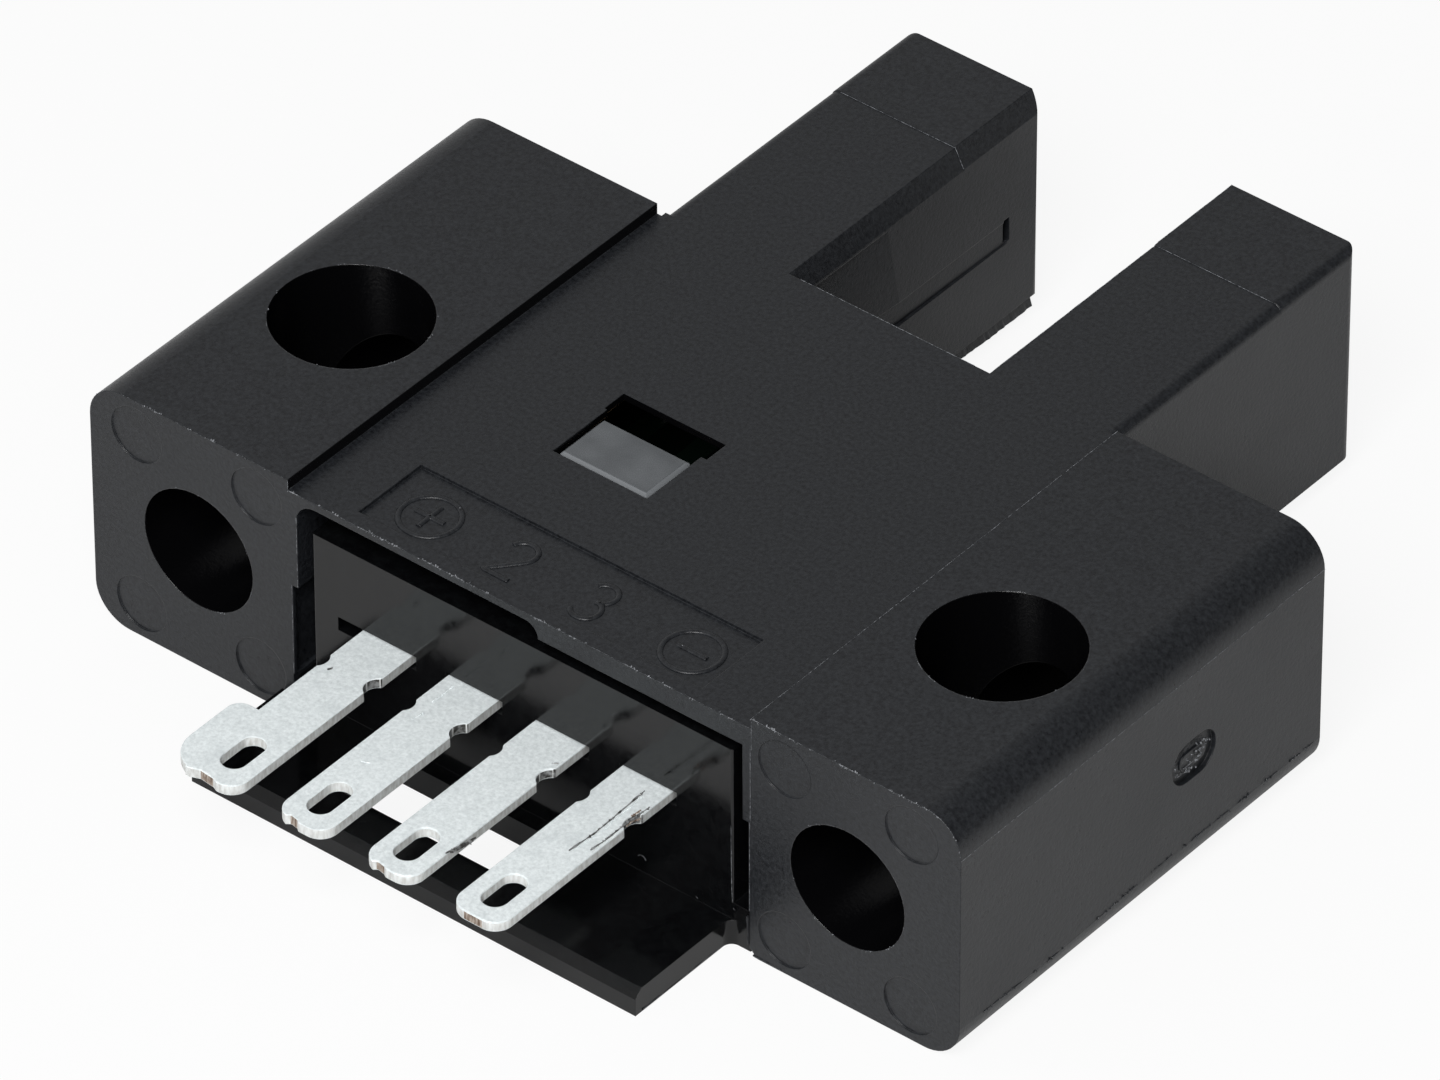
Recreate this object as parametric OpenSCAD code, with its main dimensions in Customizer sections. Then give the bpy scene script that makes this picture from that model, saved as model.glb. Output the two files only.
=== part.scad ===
// Slot-type photo interrupter: a black moulded fork with two mounting flanges,
// four flat terminals over a latch tongue, and a small indicator window.
// Origin: middle of the two vertical screw holes, on the base face.
// +X runs along the flanges, +Y towards the fork tips, +Z up.

/* [Housing] */
// Width of the lower middle part
centre_w = 13.5; // [13.3:0.1:14.2]
// Width of each mounting flange
flange_w = 5.95; // [5.8:0.05:7]
// Depth of the flanges, front to back
flange_d = 13.2; // [12.9:0.1:14.5]
// Height of the flanges
body_h = 6.9; // [6.8:0.05:7.6]
// Radius along the long edges of the flanges
corner_r = 1.0; // [0.4:0.1:1.2]
// Step from the flange tops down to the middle part
centre_drop = 0.3; // [0.1:0.05:0.5]
// Bore of the vertical screw holes
top_hole_d = 3.9; // [3.2:0.05:4]
// Bore of the front-to-back screw holes
side_hole_d = 3.25; // [2.8:0.05:3.6]
// Screw positions off the middle of the flange, towards the centre
hole_shift = 0.225; // [0:0.025:0.3]
// Screw positions behind the front face
hole_setback = 5.5; // [4.5:0.1:7]
// Thickness of the walls round the electronics
wall_t = 0.5; // [0.4:0.05:0.6]
// Thickness of the roof over the electronics
roof_t = 0.58; // [0.5:0.02:0.7]
// Thickness of the thin lip over the keyway
lip_t = 0.2; // [0.15:0.05:0.3]
// Side wall of the front opening
side_wall_t = 0.25; // [0.2:0.05:0.4]
// Radius in the upper left corner of the front opening
opening_r = 0.55; // [0.3:0.05:0.8]
// Depth of the keyway behind the front face
keyway_d = 8.2; // [7.8:0.1:9]
// Right-hand end of the keyway, from the middle
keyway_x = 0.6; // [0.4:0.1:1]
// Height of the wider notch for the holder's foot
notch_h = 1.27; // [0.9:0.01:1.5]
// Depth of that notch
notch_d = 0.9; // [0.6:0.1:1.2]
// Side wall that the notch leaves
notch_side_t = 0.05; // [0.05:0.01:0.15]
// Chamfer on the flanges' lower corners beside the notch
notch_c = 0.22; // [0.1:0.02:0.3]
// Height of the latch recesses in the side walls
latch_h = 3.87; // [3:0.01:4.5]
// Depth of the latch recesses into the side walls
latch_t = 0.3; // [0.2:0.05:0.5]
// How far the recesses cut back the edges of the front opening
latch_edge = 0.17; // [0.1:0.01:0.2]
// Length of the latch recesses, front to back
latch_l = 3; // [2:0.1:4]

/* [Fork] */
// Width of the sensing slot between the legs
slot_w = 5.36; // [5:0.02:5.5]
// Depth of the slot, root to tips
slot_d = 9.05; // [8.6:0.05:10]
// Width of each leg
leg_w = 3.94; // [3.8:0.02:4]
// Slot root behind the flange back
root_ledge = 0.15; // [0.1:0.05:0.4]
// Height of the legs' undersides above the base
leg_lift = 0.5; // [0.3:0.05:0.7]
// Inward lean of each inner face over its height
leg_draft = 0.06; // [0:0.01:0.1]
// Width of the steep chamfers on the inner edges
inner_edge_w = 0.27; // [0.1:0.01:0.4]
// Height of the chamfer on the upper inner edge
inner_edge_h = 0.54; // [0.2:0.02:0.7]
// Height of the chamfer on the lower inner edge
under_edge_h = 0.34; // [0.2:0.02:0.5]
// Width of the rounding on the upper outer edges
outer_edge_w = 0.26; // [0.1:0.02:0.3]
// Height of the rounding on the upper outer edges
outer_edge_h = 0.24; // [0.1:0.02:0.4]
// Radius of the upright edges at the tips
tip_r = 0.32; // [0.1:0.02:0.5]
// Length of the tip pads, a little higher than the rest
tip_pad_l = 2.9; // [2:0.1:4]
// How much higher the tip pads are
tip_pad_rise = 0.03; // [0.01:0.01:0.06]
// Height of the optical axis above the base
axis_h = 3.37; // [3.2:0.01:3.5]
// Optical axis to the fork tips
axis_inset = 1.3; // [1.2:0.05:1.8]
// Width of the slit in front of the detector
slit_w = 0.2; // [0.15:0.05:0.5]
// Width of the slit in front of the emitter
emitter_slit_w = 0.5; // [0.2:0.05:0.8]
// Height of both slits
slit_h = 0.66; // [0.4:0.02:0.9]
// Depth of the tapered relief in the inner faces, at the root
relief_t = 0.24; // [0.1:0.01:0.3]
// Length of the tapered relief
relief_l = 4.7; // [3:0.1:6]
// Top of the relief below the chamfer
relief_drop = 0.08; // [0.04:0.02:0.2]
// Depth of the track that runs to each slit, at the root
track_t = 0.1; // [0.06:0.01:0.16]
// Depth of the track beside the slit
track_end_t = 0.03; // [0.01:0.01:0.05]
// Track below the slit
track_drop = 0.06; // [0.04:0.01:0.1]

/* [Moulding marks] */
// Diameter of the ejector pin marks
ejector_d = 1.5; // [1:0.05:1.6]
// Depth of the ejector pin marks
ejector_t = 0.04; // [0.02:0.01:0.08]
// Ejector pin marks in from the flanges' top and bottom
ejector_edge = 0.97; // [0.9:0.01:1.2]
// Ejector pin marks in from the flanges' sides
ejector_side = 1.175; // [1:0.025:1.3]
// Length of the gate mark in the right end, front to back
gate_l = 1.6; // [1.4:0.1:2]
// Height of the gate mark
gate_h = 1.15; // [0.9:0.05:1.3]
// Depth of the gate mark
gate_t = 0.12; // [0.05:0.01:0.2]
// Gate mark behind the middle of the screw holes
gate_y = 2.95; // [2:0.05:3.5]
// Depth of the sunk legend field on the top
legend_t = 0.09; // [0.03:0.01:0.12]
// Width of the legend field
legend_w = 10.0; // [9:0.1:11]
// Length of the legend field
legend_l = 2.2; // [2:0.1:2.4]
// Legend field behind the front face
legend_y = 0.42; // [0.35:0.01:0.6]

/* [Terminals] */
// Distance between terminals
pitch = 2.54; // [2.5:0.01:2.6]
// Terminal row off the middle, towards the left
row_shift = 0.17; // [0:0.01:0.3]
// Width of a terminal
term_w = 1.46; // [1.3:0.01:1.5]
// Thickness of a terminal
term_t = 0.28; // [0.2:0.01:0.3]
// Underside of the terminals above the board
term_lift = 0.355; // [0.3:0.005:0.4]
// Terminal ends in front of the front face
term_l = 5.97; // [5.5:0.01:6.5]
// Extra length of the first terminal
first_extra = 0.08; // [0:0.01:0.2]
// Corner radius at the terminal ends
term_r = 0.47; // [0.3:0.01:0.6]
// Width of the wire slots near the terminal ends
wire_slot_w = 0.64; // [0.5:0.02:0.8]
// Length of the wire slots
wire_slot_l = 1.26; // [1:0.02:1.4]
// Middle of the wire slots in front of the front face
wire_slot_y = 4.88; // [4.6:0.02:5]
// Depth of the sheared bite in the terminal ends
bite_t = 0.1; // [0.05:0.01:0.15]
// Width of the sheared bite in the middle two terminals
bite_w = 0.42; // [0.3:0.02:0.5]
// Width of the sheared bite in the first terminal
first_bite_w = 0.8; // [0.5:0.05:0.9]
// Sheared bite off the terminal's middle, towards the left
bite_shift = 0.22; // [0.1:0.02:0.3]
// Radius of the side notches
nick_r = 0.34; // [0.2:0.02:0.4]
// Depth of the side notches on the right
nick_t = 0.19; // [0.1:0.01:0.25]
// Depth of the side notches on the left
nick_left_t = 0.1; // [0.05:0.01:0.2]
// Side notches in front of the front face
nick_y = 1.24; // [1:0.02:1.6]
// How far the ear of the first terminal stands out
ear_w = 0.62; // [0.4:0.02:0.8]
// Length of the ear of the first terminal
ear_l = 2.55; // [2.2:0.05:3]
// Large radius on the ear
ear_r = 0.9; // [0.6:0.05:1]
// Width of the solder tail inside
tail_w = 0.6; // [0.5:0.05:0.7]
// Solder tail beyond the board's underside
tail_l = 0.25; // [0.1:0.05:0.4]

/* [Terminal holder] */
// Gap between the front block and the side walls
block_side = 0.35; // [0.2:0.05:0.5]
// Gap between the front block and the roof
block_gap = 0.42; // [0.3:0.02:0.6]
// Radius on the block's upright front edges
block_r = 0.07; // [0.05:0.01:0.2]
// Depth of the front block
block_d = 2.9; // [2.5:0.1:3.2]
// Front block behind the housing's front face
block_inset = 0.1; // [0.05:0.05:0.3]
// Depth of the block's narrower front part
block_nose_d = 1.0; // [0.8:0.1:1.4]
// Step from the front part's top down to the wider part behind
shoulder_h = 1.0; // [0.6:0.1:1.4]
// Thickness of the tongue and base plate
tongue_t = 0.7; // [0.6:0.05:0.8]
// Tongue's right side in from the foot's right side
tongue_inset = 0.6; // [0.4:0.05:0.8]
// Tongue's left side out past the foot's left side
tongue_reach = 0.37; // [0.2:0.01:0.6]
// Tongue in front of the front face
tongue_l = 3.25; // [3:0.05:3.6]
// Chamfer on the tongue's front edge
tongue_c = 0.22; // [0.1:0.02:0.3]
// Fillet between the tongue's sides and the foot
tongue_fillet = 0.25; // [0.1:0.05:0.4]
// Width of the latch window in the tongue
window_w = 4.8; // [4.4:0.1:5.2]
// Middle of the latch window, towards the left
window_shift = 1.2; // [0.8:0.1:1.4]
// Length of the latch window
window_l = 1.72; // [1.5:0.02:1.9]
// Bar in front of the latch window
window_bar = 1.23; // [1.1:0.02:1.4]
// Clearance of parts that fit in one another
fit_gap = 0.05; // [0.03:0.01:0.1]
// Room beside the terminals in their slots, on the right
slot_room_right = 0.15; // [0.1:0.01:0.2]
// Room beside the first terminal in its slot, on the left
slot_room_ear = 0.7; // [0.5:0.05:0.8]
// Least wall of the block beside that slot
slot_wall = 0.25; // [0.2:0.05:0.5]
// Diameter of the posts under the board
post_d = 1.2; // [1:0.05:1.4]
// Diameter of the pegs through the board
peg_d = 0.7; // [0.6:0.05:0.8]
// Posts in from the side walls
post_inset = 1.5; // [1.3:0.1:1.8]

/* [Indicator] */
// Width of the window opening in the roof
pocket_w = 2.76; // [2.7:0.02:3.1]
// Length of the window opening
pocket_l = 2.64; // [2.4:0.02:2.8]
// Window opening behind the front face
pocket_y = 4.88; // [4.6:0.02:5.3]
// Middle of the window opening, towards the left
pocket_shift = 1.62; // [1.5:0.02:1.7]
// Length of the wider slot at the back of the opening
relief_slot_l = 0.7; // [0.5:0.05:0.8]
// Extra width of that slot on each side
relief_slot_w = 0.16; // [0.1:0.02:0.3]
// Gap round the indicator window
lens_gap = 0.07; // [0.05:0.01:0.15]
// Length of the indicator window
lens_l = 1.66; // [1.5:0.02:1.8]
// Corner radius of the indicator window
lens_r = 0.16; // [0.1:0.02:0.3]
// Chamfer round the top of the indicator window
lens_c = 0.11; // [0.05:0.01:0.15]
// Height of the window's top below the roof's top
lens_drop = 0.03; // [0:0.01:0.1]
// Air gap over the lamp
lamp_air = 0.35; // [0.2:0.05:0.5]

/* [Electronics] */
// Thickness of the circuit board
board_t = 0.8; // [0.6:0.05:0.9]
// Room round the circuit board
board_room = 0.15; // [0.1:0.05:0.2]
// Solder film under the mounted parts
solder = 0.02; // [0.01:0.01:0.04]
// Height of the emitter and detector packages
package_h = 1.05; // [0.9:0.01:1.1]
// Length of those packages along the leg
package_l = 1.5; // [1.3:0.05:1.55]
// Depth of those packages across the leg
package_w = 1.25; // [1.1:0.05:1.3]
// Radius of their lenses
bead_r = 0.4; // [0.3:0.02:0.45]
// Width of their leads
lead_w = 0.28; // [0.2:0.02:0.3]
// Thickness of the leads
lead_t = 0.15; // [0.1:0.01:0.18]
// Length of the small two-ended chips
chip_l = 1.6; // [1.4:0.05:1.65]
// Width of the small two-ended chips
chip_w = 0.8; // [0.6:0.05:0.9]
// Height of the resistors
resistor_h = 0.45; // [0.3:0.05:0.6]
// Height of the capacitor
capacitor_h = 0.7; // [0.5:0.05:0.9]
// Height of the indicator lamp
lamp_h = 0.6; // [0.4:0.05:0.8]
// Distance between the rows of chips
chip_row = 1.6; // [1.2:0.1:2]
// Chips in from the side walls
chip_inset = 2.1; // [2:0.1:2.4]
// Length of the transistor body
transistor_l = 2.9; // [2.6:0.05:3]
// Width of the transistor body
transistor_w = 1.3; // [1.2:0.05:1.4]
// Height of the transistor body
transistor_h = 1.0; // [0.8:0.05:1.1]
// Transistor body above the board
transistor_lift = 0.1; // [0.05:0.05:0.2]
// Gap between the transistor and the resistor beside it
chip_gap = 0.25; // [0.15:0.05:0.4]
// Outer leads from the transistor's middle
wing_pitch = 0.95; // [0.8:0.05:1]
// Width of the transistor leads
wing_w = 0.4; // [0.3:0.02:0.45]
// Length of the feet of the transistor leads
wing_foot = 0.3; // [0.2:0.02:0.4]

/* [Hidden] */
$fn = 48;
// What a cut reaches past a face
past = 1;
body_w = centre_w + 2 * flange_w;
hole_x = (centre_w + flange_w) / 2 - hole_shift;
front_y = -hole_setback;
back_y = front_y + flange_d;
root_y = back_y + root_ledge;
tip_y = root_y + slot_d;
axis_y = tip_y - axis_inset;
top_z = body_h - centre_drop;
slot_x = slot_w / 2;
leg_x = slot_x + leg_w;
cavity_x = centre_w / 2 - side_wall_t;
cavity_y = back_y - wall_t;
notch_x = centre_w / 2 - notch_side_t;
roof_z = top_z - roof_t;
keyway_z = top_z - lip_t;
tunnel_in = slot_x + wall_t;
tunnel_out = leg_x - wall_t;
tunnel_floor = leg_lift + wall_t;
tunnel_roof = top_z - wall_t;
block_x = cavity_x - block_side;
block_h = roof_z - block_gap;
block_y = front_y + block_inset;
block_back = block_y + block_d;
foot_x = notch_x - fit_gap;
foot_h = notch_h - 2 * fit_gap;
tongue_right = foot_x - tongue_inset;
tongue_left = -foot_x - tongue_reach;
plate_back = cavity_y - wall_t;
board_top = axis_h - package_h / 2;
board_z = board_top - board_t;
board_front = block_back + board_room;
board_back = cavity_y - board_room;
board_x = cavity_x - 2 * board_room;
arm_in = tunnel_in + board_room;
arm_out = tunnel_out - board_room;
board_tip = tip_y - wall_t - board_room;
seat_z = board_top + solder;
term_z = board_top + term_lift;
term_top = term_z + term_t;
tail_y = board_front + tail_w;
tail_end = board_z - tail_l;
package_x = tunnel_in + board_room + bead_r;
lens_w = pocket_w - 2 * lens_gap;
lens_x = -pocket_shift;
lens_y = front_y + pocket_y + lens_gap;
lens_top = top_z - lens_drop;
lens_foot_w = (lens_w - chip_l) / 2 - fit_gap;
lens_under = seat_z + lamp_h + lamp_air;
// Posts: two beside the tails, two near the back, the back ones with pegs
post_x = cavity_x - post_inset;
post_front_y = board_front + 2 * post_d;
post_back_y = board_back - post_d;
chip_x = cavity_x - chip_inset;
chip_y = lens_y + lens_l / 2;
capacitor_x = chip_gap + post_d / 2 + chip_l / 2 - post_x;
transistor_x = chip_x - chip_l / 2 - chip_gap - transistor_l / 2;
transistor_y = lens_y + lens_l + transistor_w + chip_w / 2;

// Middle of terminal number i, counted from 0 at the left
function term_x(i) = -row_shift + (i - 1.5) * pitch;

// The first slot is as wide as its wall lets it be
function slot_left(i) = i > 0 ? fit_gap : min(slot_room_ear, block_x - slot_wall + term_x(0) - term_w / 2);

// Points of a quarter of an ellipse round a corner, from one side to the other
function quarter(centre, rx, rz, start, steps = 8) =
    [for (i = [0:steps]) centre + [rx * cos(start + 90 * i / steps), rz * sin(start + 90 * i / steps)]];

// A flat shape in X and Z, carried from y0 to y1
module along_y(y0, y1)
    translate([0, y1, 0])
        rotate([90, 0, 0])
            linear_extrude(y1 - y0)
                children();

// A flat shape in Y and Z, carried from x0 to x1
module along_x(x0, x1)
    translate([x0, 0, 0])
        rotate([90, 0, 90])
            linear_extrude(x1 - x0)
                children();

// A square on its corner, which cuts a chamfer of this width
module diamond(c)
    polygon([[-c, 0], [0, -c], [c, 0], [0, c]]);

// A box from its two opposite corners
module span(a, b)
    translate(a)
        cube(b - a);

// The shape itself, or its mirror image in X
module on_side(side)
    if (side < 0)
        mirror([1, 0, 0])
            children();
    else
        children();

// A rectangle with a radius of its own at each corner, first the lower left
// one and then on round to the upper left
module rounded_rectangle(size, r)
    difference() {
        square(size);
        for (i = [0:3]) {
            corner = [[0, 0], [size.x, 0], [size.x, size.y], [0, size.y]][i];
            if (r[i] > 0)
                translate(corner)
                    rotate(90 * i)
                        difference() {
                            translate([-past, -past])
                                square(r[i] + past);
                            translate([r[i], r[i]])
                                circle(r[i]);
                        }
        }
    }

module flange_profile()
    difference() {
        translate([-body_w / 2, 0])
            rounded_rectangle([body_w, body_h], [corner_r, corner_r, corner_r, corner_r]);
        translate([-centre_w / 2, top_z])
            square([centre_w, centre_drop + past]);
    }

// Section of the right-hand leg, with its leaning and chamfered inner side
module leg_profile(top)
    polygon(concat(
        [[slot_x, top - inner_edge_h], [slot_x - leg_draft, leg_lift + under_edge_h],
         [slot_x - leg_draft + inner_edge_w, leg_lift], [leg_x, leg_lift]],
        quarter([leg_x - outer_edge_w, top - outer_edge_h], outer_edge_w, outer_edge_h, 0),
        [[slot_x + inner_edge_w, top]]
    ));

// Plan of the right-hand leg, with round upright edges at the tip
module leg_plan()
    translate([slot_x - leg_draft, back_y - wall_t])
        rounded_rectangle([leg_w + leg_draft, tip_y - back_y + wall_t], [0, 0, tip_r, tip_r]);

// A thin wedge in the inner face, deepest at the slot root
module relief_plan(depth, end_depth, end_y)
    let (face = slot_x - leg_draft / 2)
        polygon([
            [face - past, root_y - past],
            [face + depth, root_y - past],
            [face + depth, root_y],
            [face + end_depth, end_y],
            [face - past, end_y]
        ]);

module leg()
    difference() {
        intersection() {
            union() {
                along_y(back_y - wall_t, tip_y)
                    leg_profile(top_z);
                along_y(tip_y - tip_pad_l, tip_y)
                    leg_profile(top_z + tip_pad_rise);
            }
            linear_extrude(body_h)
                leg_plan();
        }
        // tapered relief over the beam, and the track that runs on to the slit
        track_z = axis_h - slit_h / 2 - track_drop;
        translate([0, 0, track_z + slit_h])
            linear_extrude(top_z - inner_edge_h - relief_drop - slit_h - track_z)
                relief_plan(relief_t, -leg_draft, root_y + relief_l);
        translate([0, 0, track_z])
            linear_extrude(slit_h)
                relief_plan(track_t, track_end_t, axis_y);
    }

// Front opening: the keyway is the taller part on the left
module opening_profile() {
    translate([-cavity_x, -past])
        rounded_rectangle([2 * cavity_x, roof_z + past], [0, 0, side_wall_t, 0]);
    translate([-cavity_x, roof_z - past])
        rounded_rectangle([cavity_x + keyway_x, keyway_z - roof_z + past],
                          [0, 0, keyway_z - roof_z, opening_r]);
}

module cavity() {
    // front opening and keyway, open at the bottom for the holder
    along_y(front_y - past, front_y + keyway_d)
        opening_profile();
    span([-cavity_x, front_y, tongue_t], [cavity_x, cavity_y, roof_z]);
    span([-cavity_x, front_y, -past], [cavity_x, plate_back, tongue_t + past]);
    // notch for the holder's foot, with chamfered lower corners
    span([-notch_x, front_y - past, -past], [notch_x, front_y + notch_d, notch_h]);
    for (side = [-1, 1])
        translate([side * notch_x, 0])
            along_y(front_y - past, front_y + notch_d)
                diamond(notch_c);
    // latch recesses in the side walls, then the tunnels in the legs
    span([-cavity_x - latch_edge, front_y - past, notch_h - fit_gap],
         [cavity_x + latch_edge, block_y + fit_gap, latch_h]);
    span([-cavity_x - latch_t, block_y, notch_h - fit_gap],
         [cavity_x + latch_t, block_y + latch_l, latch_h]);
    for (side = [-1, 1])
        on_side(side)
            span([tunnel_in, cavity_y - past, tunnel_floor], [tunnel_out, tip_y - wall_t, tunnel_roof]);
}

module screw_holes()
    for (side = [-1, 1]) {
        translate([side * hole_x, 0, -past])
            cylinder(h = body_h + 2 * past, d = top_hole_d);
        translate([side * hole_x, front_y - past, body_h / 2])
            rotate([-90, 0, 0])
                cylinder(h = flange_d + 2 * past, d = side_hole_d);
    }

// A bar along X with a plan that has round ends in Y
module round_bar(length, height, depth) {
    straight = length - height;
    for (end = [-1, 1])
        translate([0, end * straight / 2, 0])
            rotate([0, 90, 0])
                cylinder(h = depth, d = height);
    translate([0, -straight / 2, -height / 2])
        cube([depth, straight, height]);
}

module moulding_marks() {
    mark_x = flange_w / 2 - ejector_side;
    mark_z = body_h / 2 - ejector_edge;
    for (side = [-1, 1], dx = [-mark_x, mark_x], dz = [-mark_z, mark_z])
        translate([side * hole_x + dx, front_y + ejector_t, body_h / 2 + dz])
            rotate([90, 0, 0])
                cylinder(h = past, d = ejector_d);
    // gate mark: a long ring round a low broken stub
    translate([body_w / 2 - gate_t, gate_y, body_h / 2])
        difference() {
            round_bar(gate_l, gate_h, past);
            round_bar(gate_l * 0.6, gate_h * 0.4, gate_t * 0.7);
        }
    translate([-legend_w / 2, front_y + legend_y, top_z - legend_t])
        cube([legend_w, legend_l, past]);
}

// Opening in the roof over the indicator window, wider at its back
module window_opening() {
    y0 = front_y + pocket_y;
    span([lens_x - pocket_w / 2, y0, roof_z - past], [lens_x + pocket_w / 2, y0 + pocket_l, body_h]);
    span([lens_x - pocket_w / 2 - relief_slot_w / 2, y0 + pocket_l - relief_slot_l, roof_z - past],
         [lens_x + pocket_w / 2 + relief_slot_w, y0 + pocket_l, body_h]);
}

// The narrow slit is on the detector side
module slits() {
    span([-tunnel_in - past, axis_y - slit_w / 2, axis_h - slit_h / 2],
         [-slot_x + past, axis_y + slit_w / 2, axis_h + slit_h / 2]);
    span([slot_x - past, axis_y - emitter_slit_w / 2, axis_h - slit_h / 2],
         [tunnel_in + past, axis_y + emitter_slit_w / 2, axis_h + slit_h / 2]);
}

module housing()
    color("#2e3032")
        difference() {
            union() {
                along_y(front_y, back_y)
                    flange_profile();
                span([-leg_x, back_y - wall_t, leg_lift], [leg_x, root_y, top_z]);
                for (side = [-1, 1])
                    on_side(side)
                        leg();
            }
            cavity();
            screw_holes();
            moulding_marks();
            window_opening();
            slits();
        }

// The tongue in front, with its latch window and the fillet to the foot
module tongue()
    difference() {
        linear_extrude(tongue_t)
            difference() {
                union() {
                    translate([tongue_left, front_y - tongue_l])
                        square([tongue_right - tongue_left, tongue_l - fit_gap]);
                    translate([-foot_x, front_y - 2 * fit_gap])
                        square([foot_x + tongue_right, block_inset + 3 * fit_gap]);
                    translate([tongue_right + tongue_fillet, block_y - tongue_fillet])
                        difference() {
                            translate([-tongue_fillet, 0])
                                square([tongue_fillet, tongue_fillet + fit_gap]);
                            circle(tongue_fillet);
                        }
                }
                translate([-window_shift - window_w / 2, front_y - tongue_l + window_bar])
                    square([window_w, window_l]);
            }
        translate([0, front_y - tongue_l, tongue_t])
            along_x(tongue_left - past, tongue_right + past)
                diamond(tongue_c);
    }

module terminal_holder()
    color("#202224")
        difference() {
            union() {
                tongue();
                // front block with rounded upright edges, and its wider shoulders behind
                translate([-block_x, block_y, 0])
                    linear_extrude(block_h)
                        rounded_rectangle([2 * block_x, block_d], [block_r, block_r, 0, 0]);
                span([-cavity_x + fit_gap, block_y + block_nose_d, 0],
                     [cavity_x - fit_gap, block_back, block_h - shoulder_h]);
                // foot in the housing's notch, then the base plate
                span([-foot_x, block_y, 0], [foot_x, front_y + notch_d - fit_gap, foot_h]);
                span([-cavity_x + fit_gap, front_y + notch_d - 2 * fit_gap, 0],
                     [cavity_x - fit_gap, plate_back - fit_gap, tongue_t]);
                for (side = [-1, 1]) {
                    for (y = [post_front_y, post_back_y])
                        translate([side * post_x, y, 0])
                            cylinder(h = board_z, d = post_d);
                    translate([side * post_x, post_back_y, 0])
                        cylinder(h = board_top + board_t / 4, d = peg_d);
                }
            }
            for (i = [0:3])
                span([term_x(i) - term_w / 2 - slot_left(i), block_y - past, term_z - fit_gap],
                     [term_x(i) + term_w / 2 + slot_room_right, block_back + past, term_top + fit_gap]);
        }

// Plan of a terminal, with x = 0 on its middle line; the eared one is longer
module terminal_plan(ear, bite)
    let (end_y = front_y - term_l - (ear ? first_extra : 0))
        difference() {
            union() {
                translate([-term_w / 2, end_y])
                    rounded_rectangle([term_w, block_back - end_y], [ear ? 0 : term_r, term_r, 0, 0]);
                translate([-tail_w / 2, block_back - past])
                    square([tail_w, tail_y + term_t / 2 - block_back + past]);
                if (ear)
                    translate([-term_w / 2 - ear_w, end_y])
                        rounded_rectangle([ear_w + term_w / 2, ear_l], [ear_r, 0, 0, term_r * 0.8]);
            }
            for (end = [-1, 1])
                translate([0, front_y - wire_slot_y + end * (wire_slot_l - wire_slot_w) / 2])
                    circle(d = wire_slot_w);
            translate([-wire_slot_w / 2, front_y - wire_slot_y - (wire_slot_l - wire_slot_w) / 2])
                square([wire_slot_w, wire_slot_l - wire_slot_w]);
            // bite left where the tie bar was sheared off
            if (bite > 0)
                translate([-bite_shift, end_y])
                    polygon([[-bite / 2, -past], [-bite / 2, 0], [-bite / 6, bite_t],
                             [bite / 3, bite_t * 0.6], [bite / 2, 0], [bite / 2, -past]]);
            translate([term_w / 2 + nick_r - nick_t, front_y - nick_y])
                circle(nick_r);
            translate([-term_w / 2 - nick_r + nick_left_t, front_y - nick_y])
                circle(nick_r);
        }

module terminal(i, ear = false, bite = bite_w)
    color("#c9cfd0")
        translate([term_x(i), 0, 0]) {
            translate([0, 0, term_z])
                linear_extrude(term_t)
                    terminal_plan(ear, bite);
            span([-tail_w / 2, tail_y - term_t / 2, tail_end],
                 [tail_w / 2, tail_y + term_t / 2, term_z + term_t / 2]);
        }

module terminal_supply() terminal(0, ear = true, bite = first_bite_w);
module terminal_mode() terminal(1);
module terminal_output() terminal(2);
module terminal_ground() terminal(3, bite = 0);

// A block of clear smoky plastic that stands astride the indicator lamp
module indicator_window()
    color("#77797b")
        difference() {
            intersection() {
                translate([lens_x - lens_w / 2, lens_y, seat_z])
                    linear_extrude(lens_top - seat_z)
                        rounded_rectangle([lens_w, lens_l], [lens_r, lens_r, lens_r, 2 * lens_r]);
                along_y(lens_y, lens_y + lens_l)
                    translate([lens_x, 0])
                        lens_outline(lens_w / 2);
                along_x(lens_x - lens_w, lens_x + lens_w)
                    translate([lens_y + lens_l / 2, 0])
                        lens_outline(lens_l / 2);
            }
            span([lens_x - lens_w / 2 + lens_foot_w, lens_y - past, seat_z - past],
                 [lens_x + lens_w / 2 - lens_foot_w, lens_y + lens_l + past, lens_under]);
        }

// Upright outline of the indicator window, with its chamfered top edges
module lens_outline(half)
    polygon([[-half, seat_z], [half, seat_z], [half, lens_top - lens_c], [half - lens_c, lens_top],
             [-half + lens_c, lens_top], [-half, lens_top - lens_c]]);

module circuit_board()
    color("#2f6b45")
        difference() {
            union() {
                span([-board_x, board_front, board_z], [board_x, board_back, board_top]);
                for (side = [-1, 1])
                    on_side(side)
                        span([arm_in, cavity_y - past / 2, board_z], [arm_out, board_tip, board_top]);
            }
            for (i = [0:3])
                translate([term_x(i), tail_y, board_z - past])
                    cylinder(h = board_t + 2 * past, d = tail_w + 4 * fit_gap);
            for (side = [-1, 1])
                translate([side * post_x, post_back_y, board_z - past])
                    cylinder(h = board_t + 2 * past, d = peg_d + 2 * fit_gap);
        }

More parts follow.
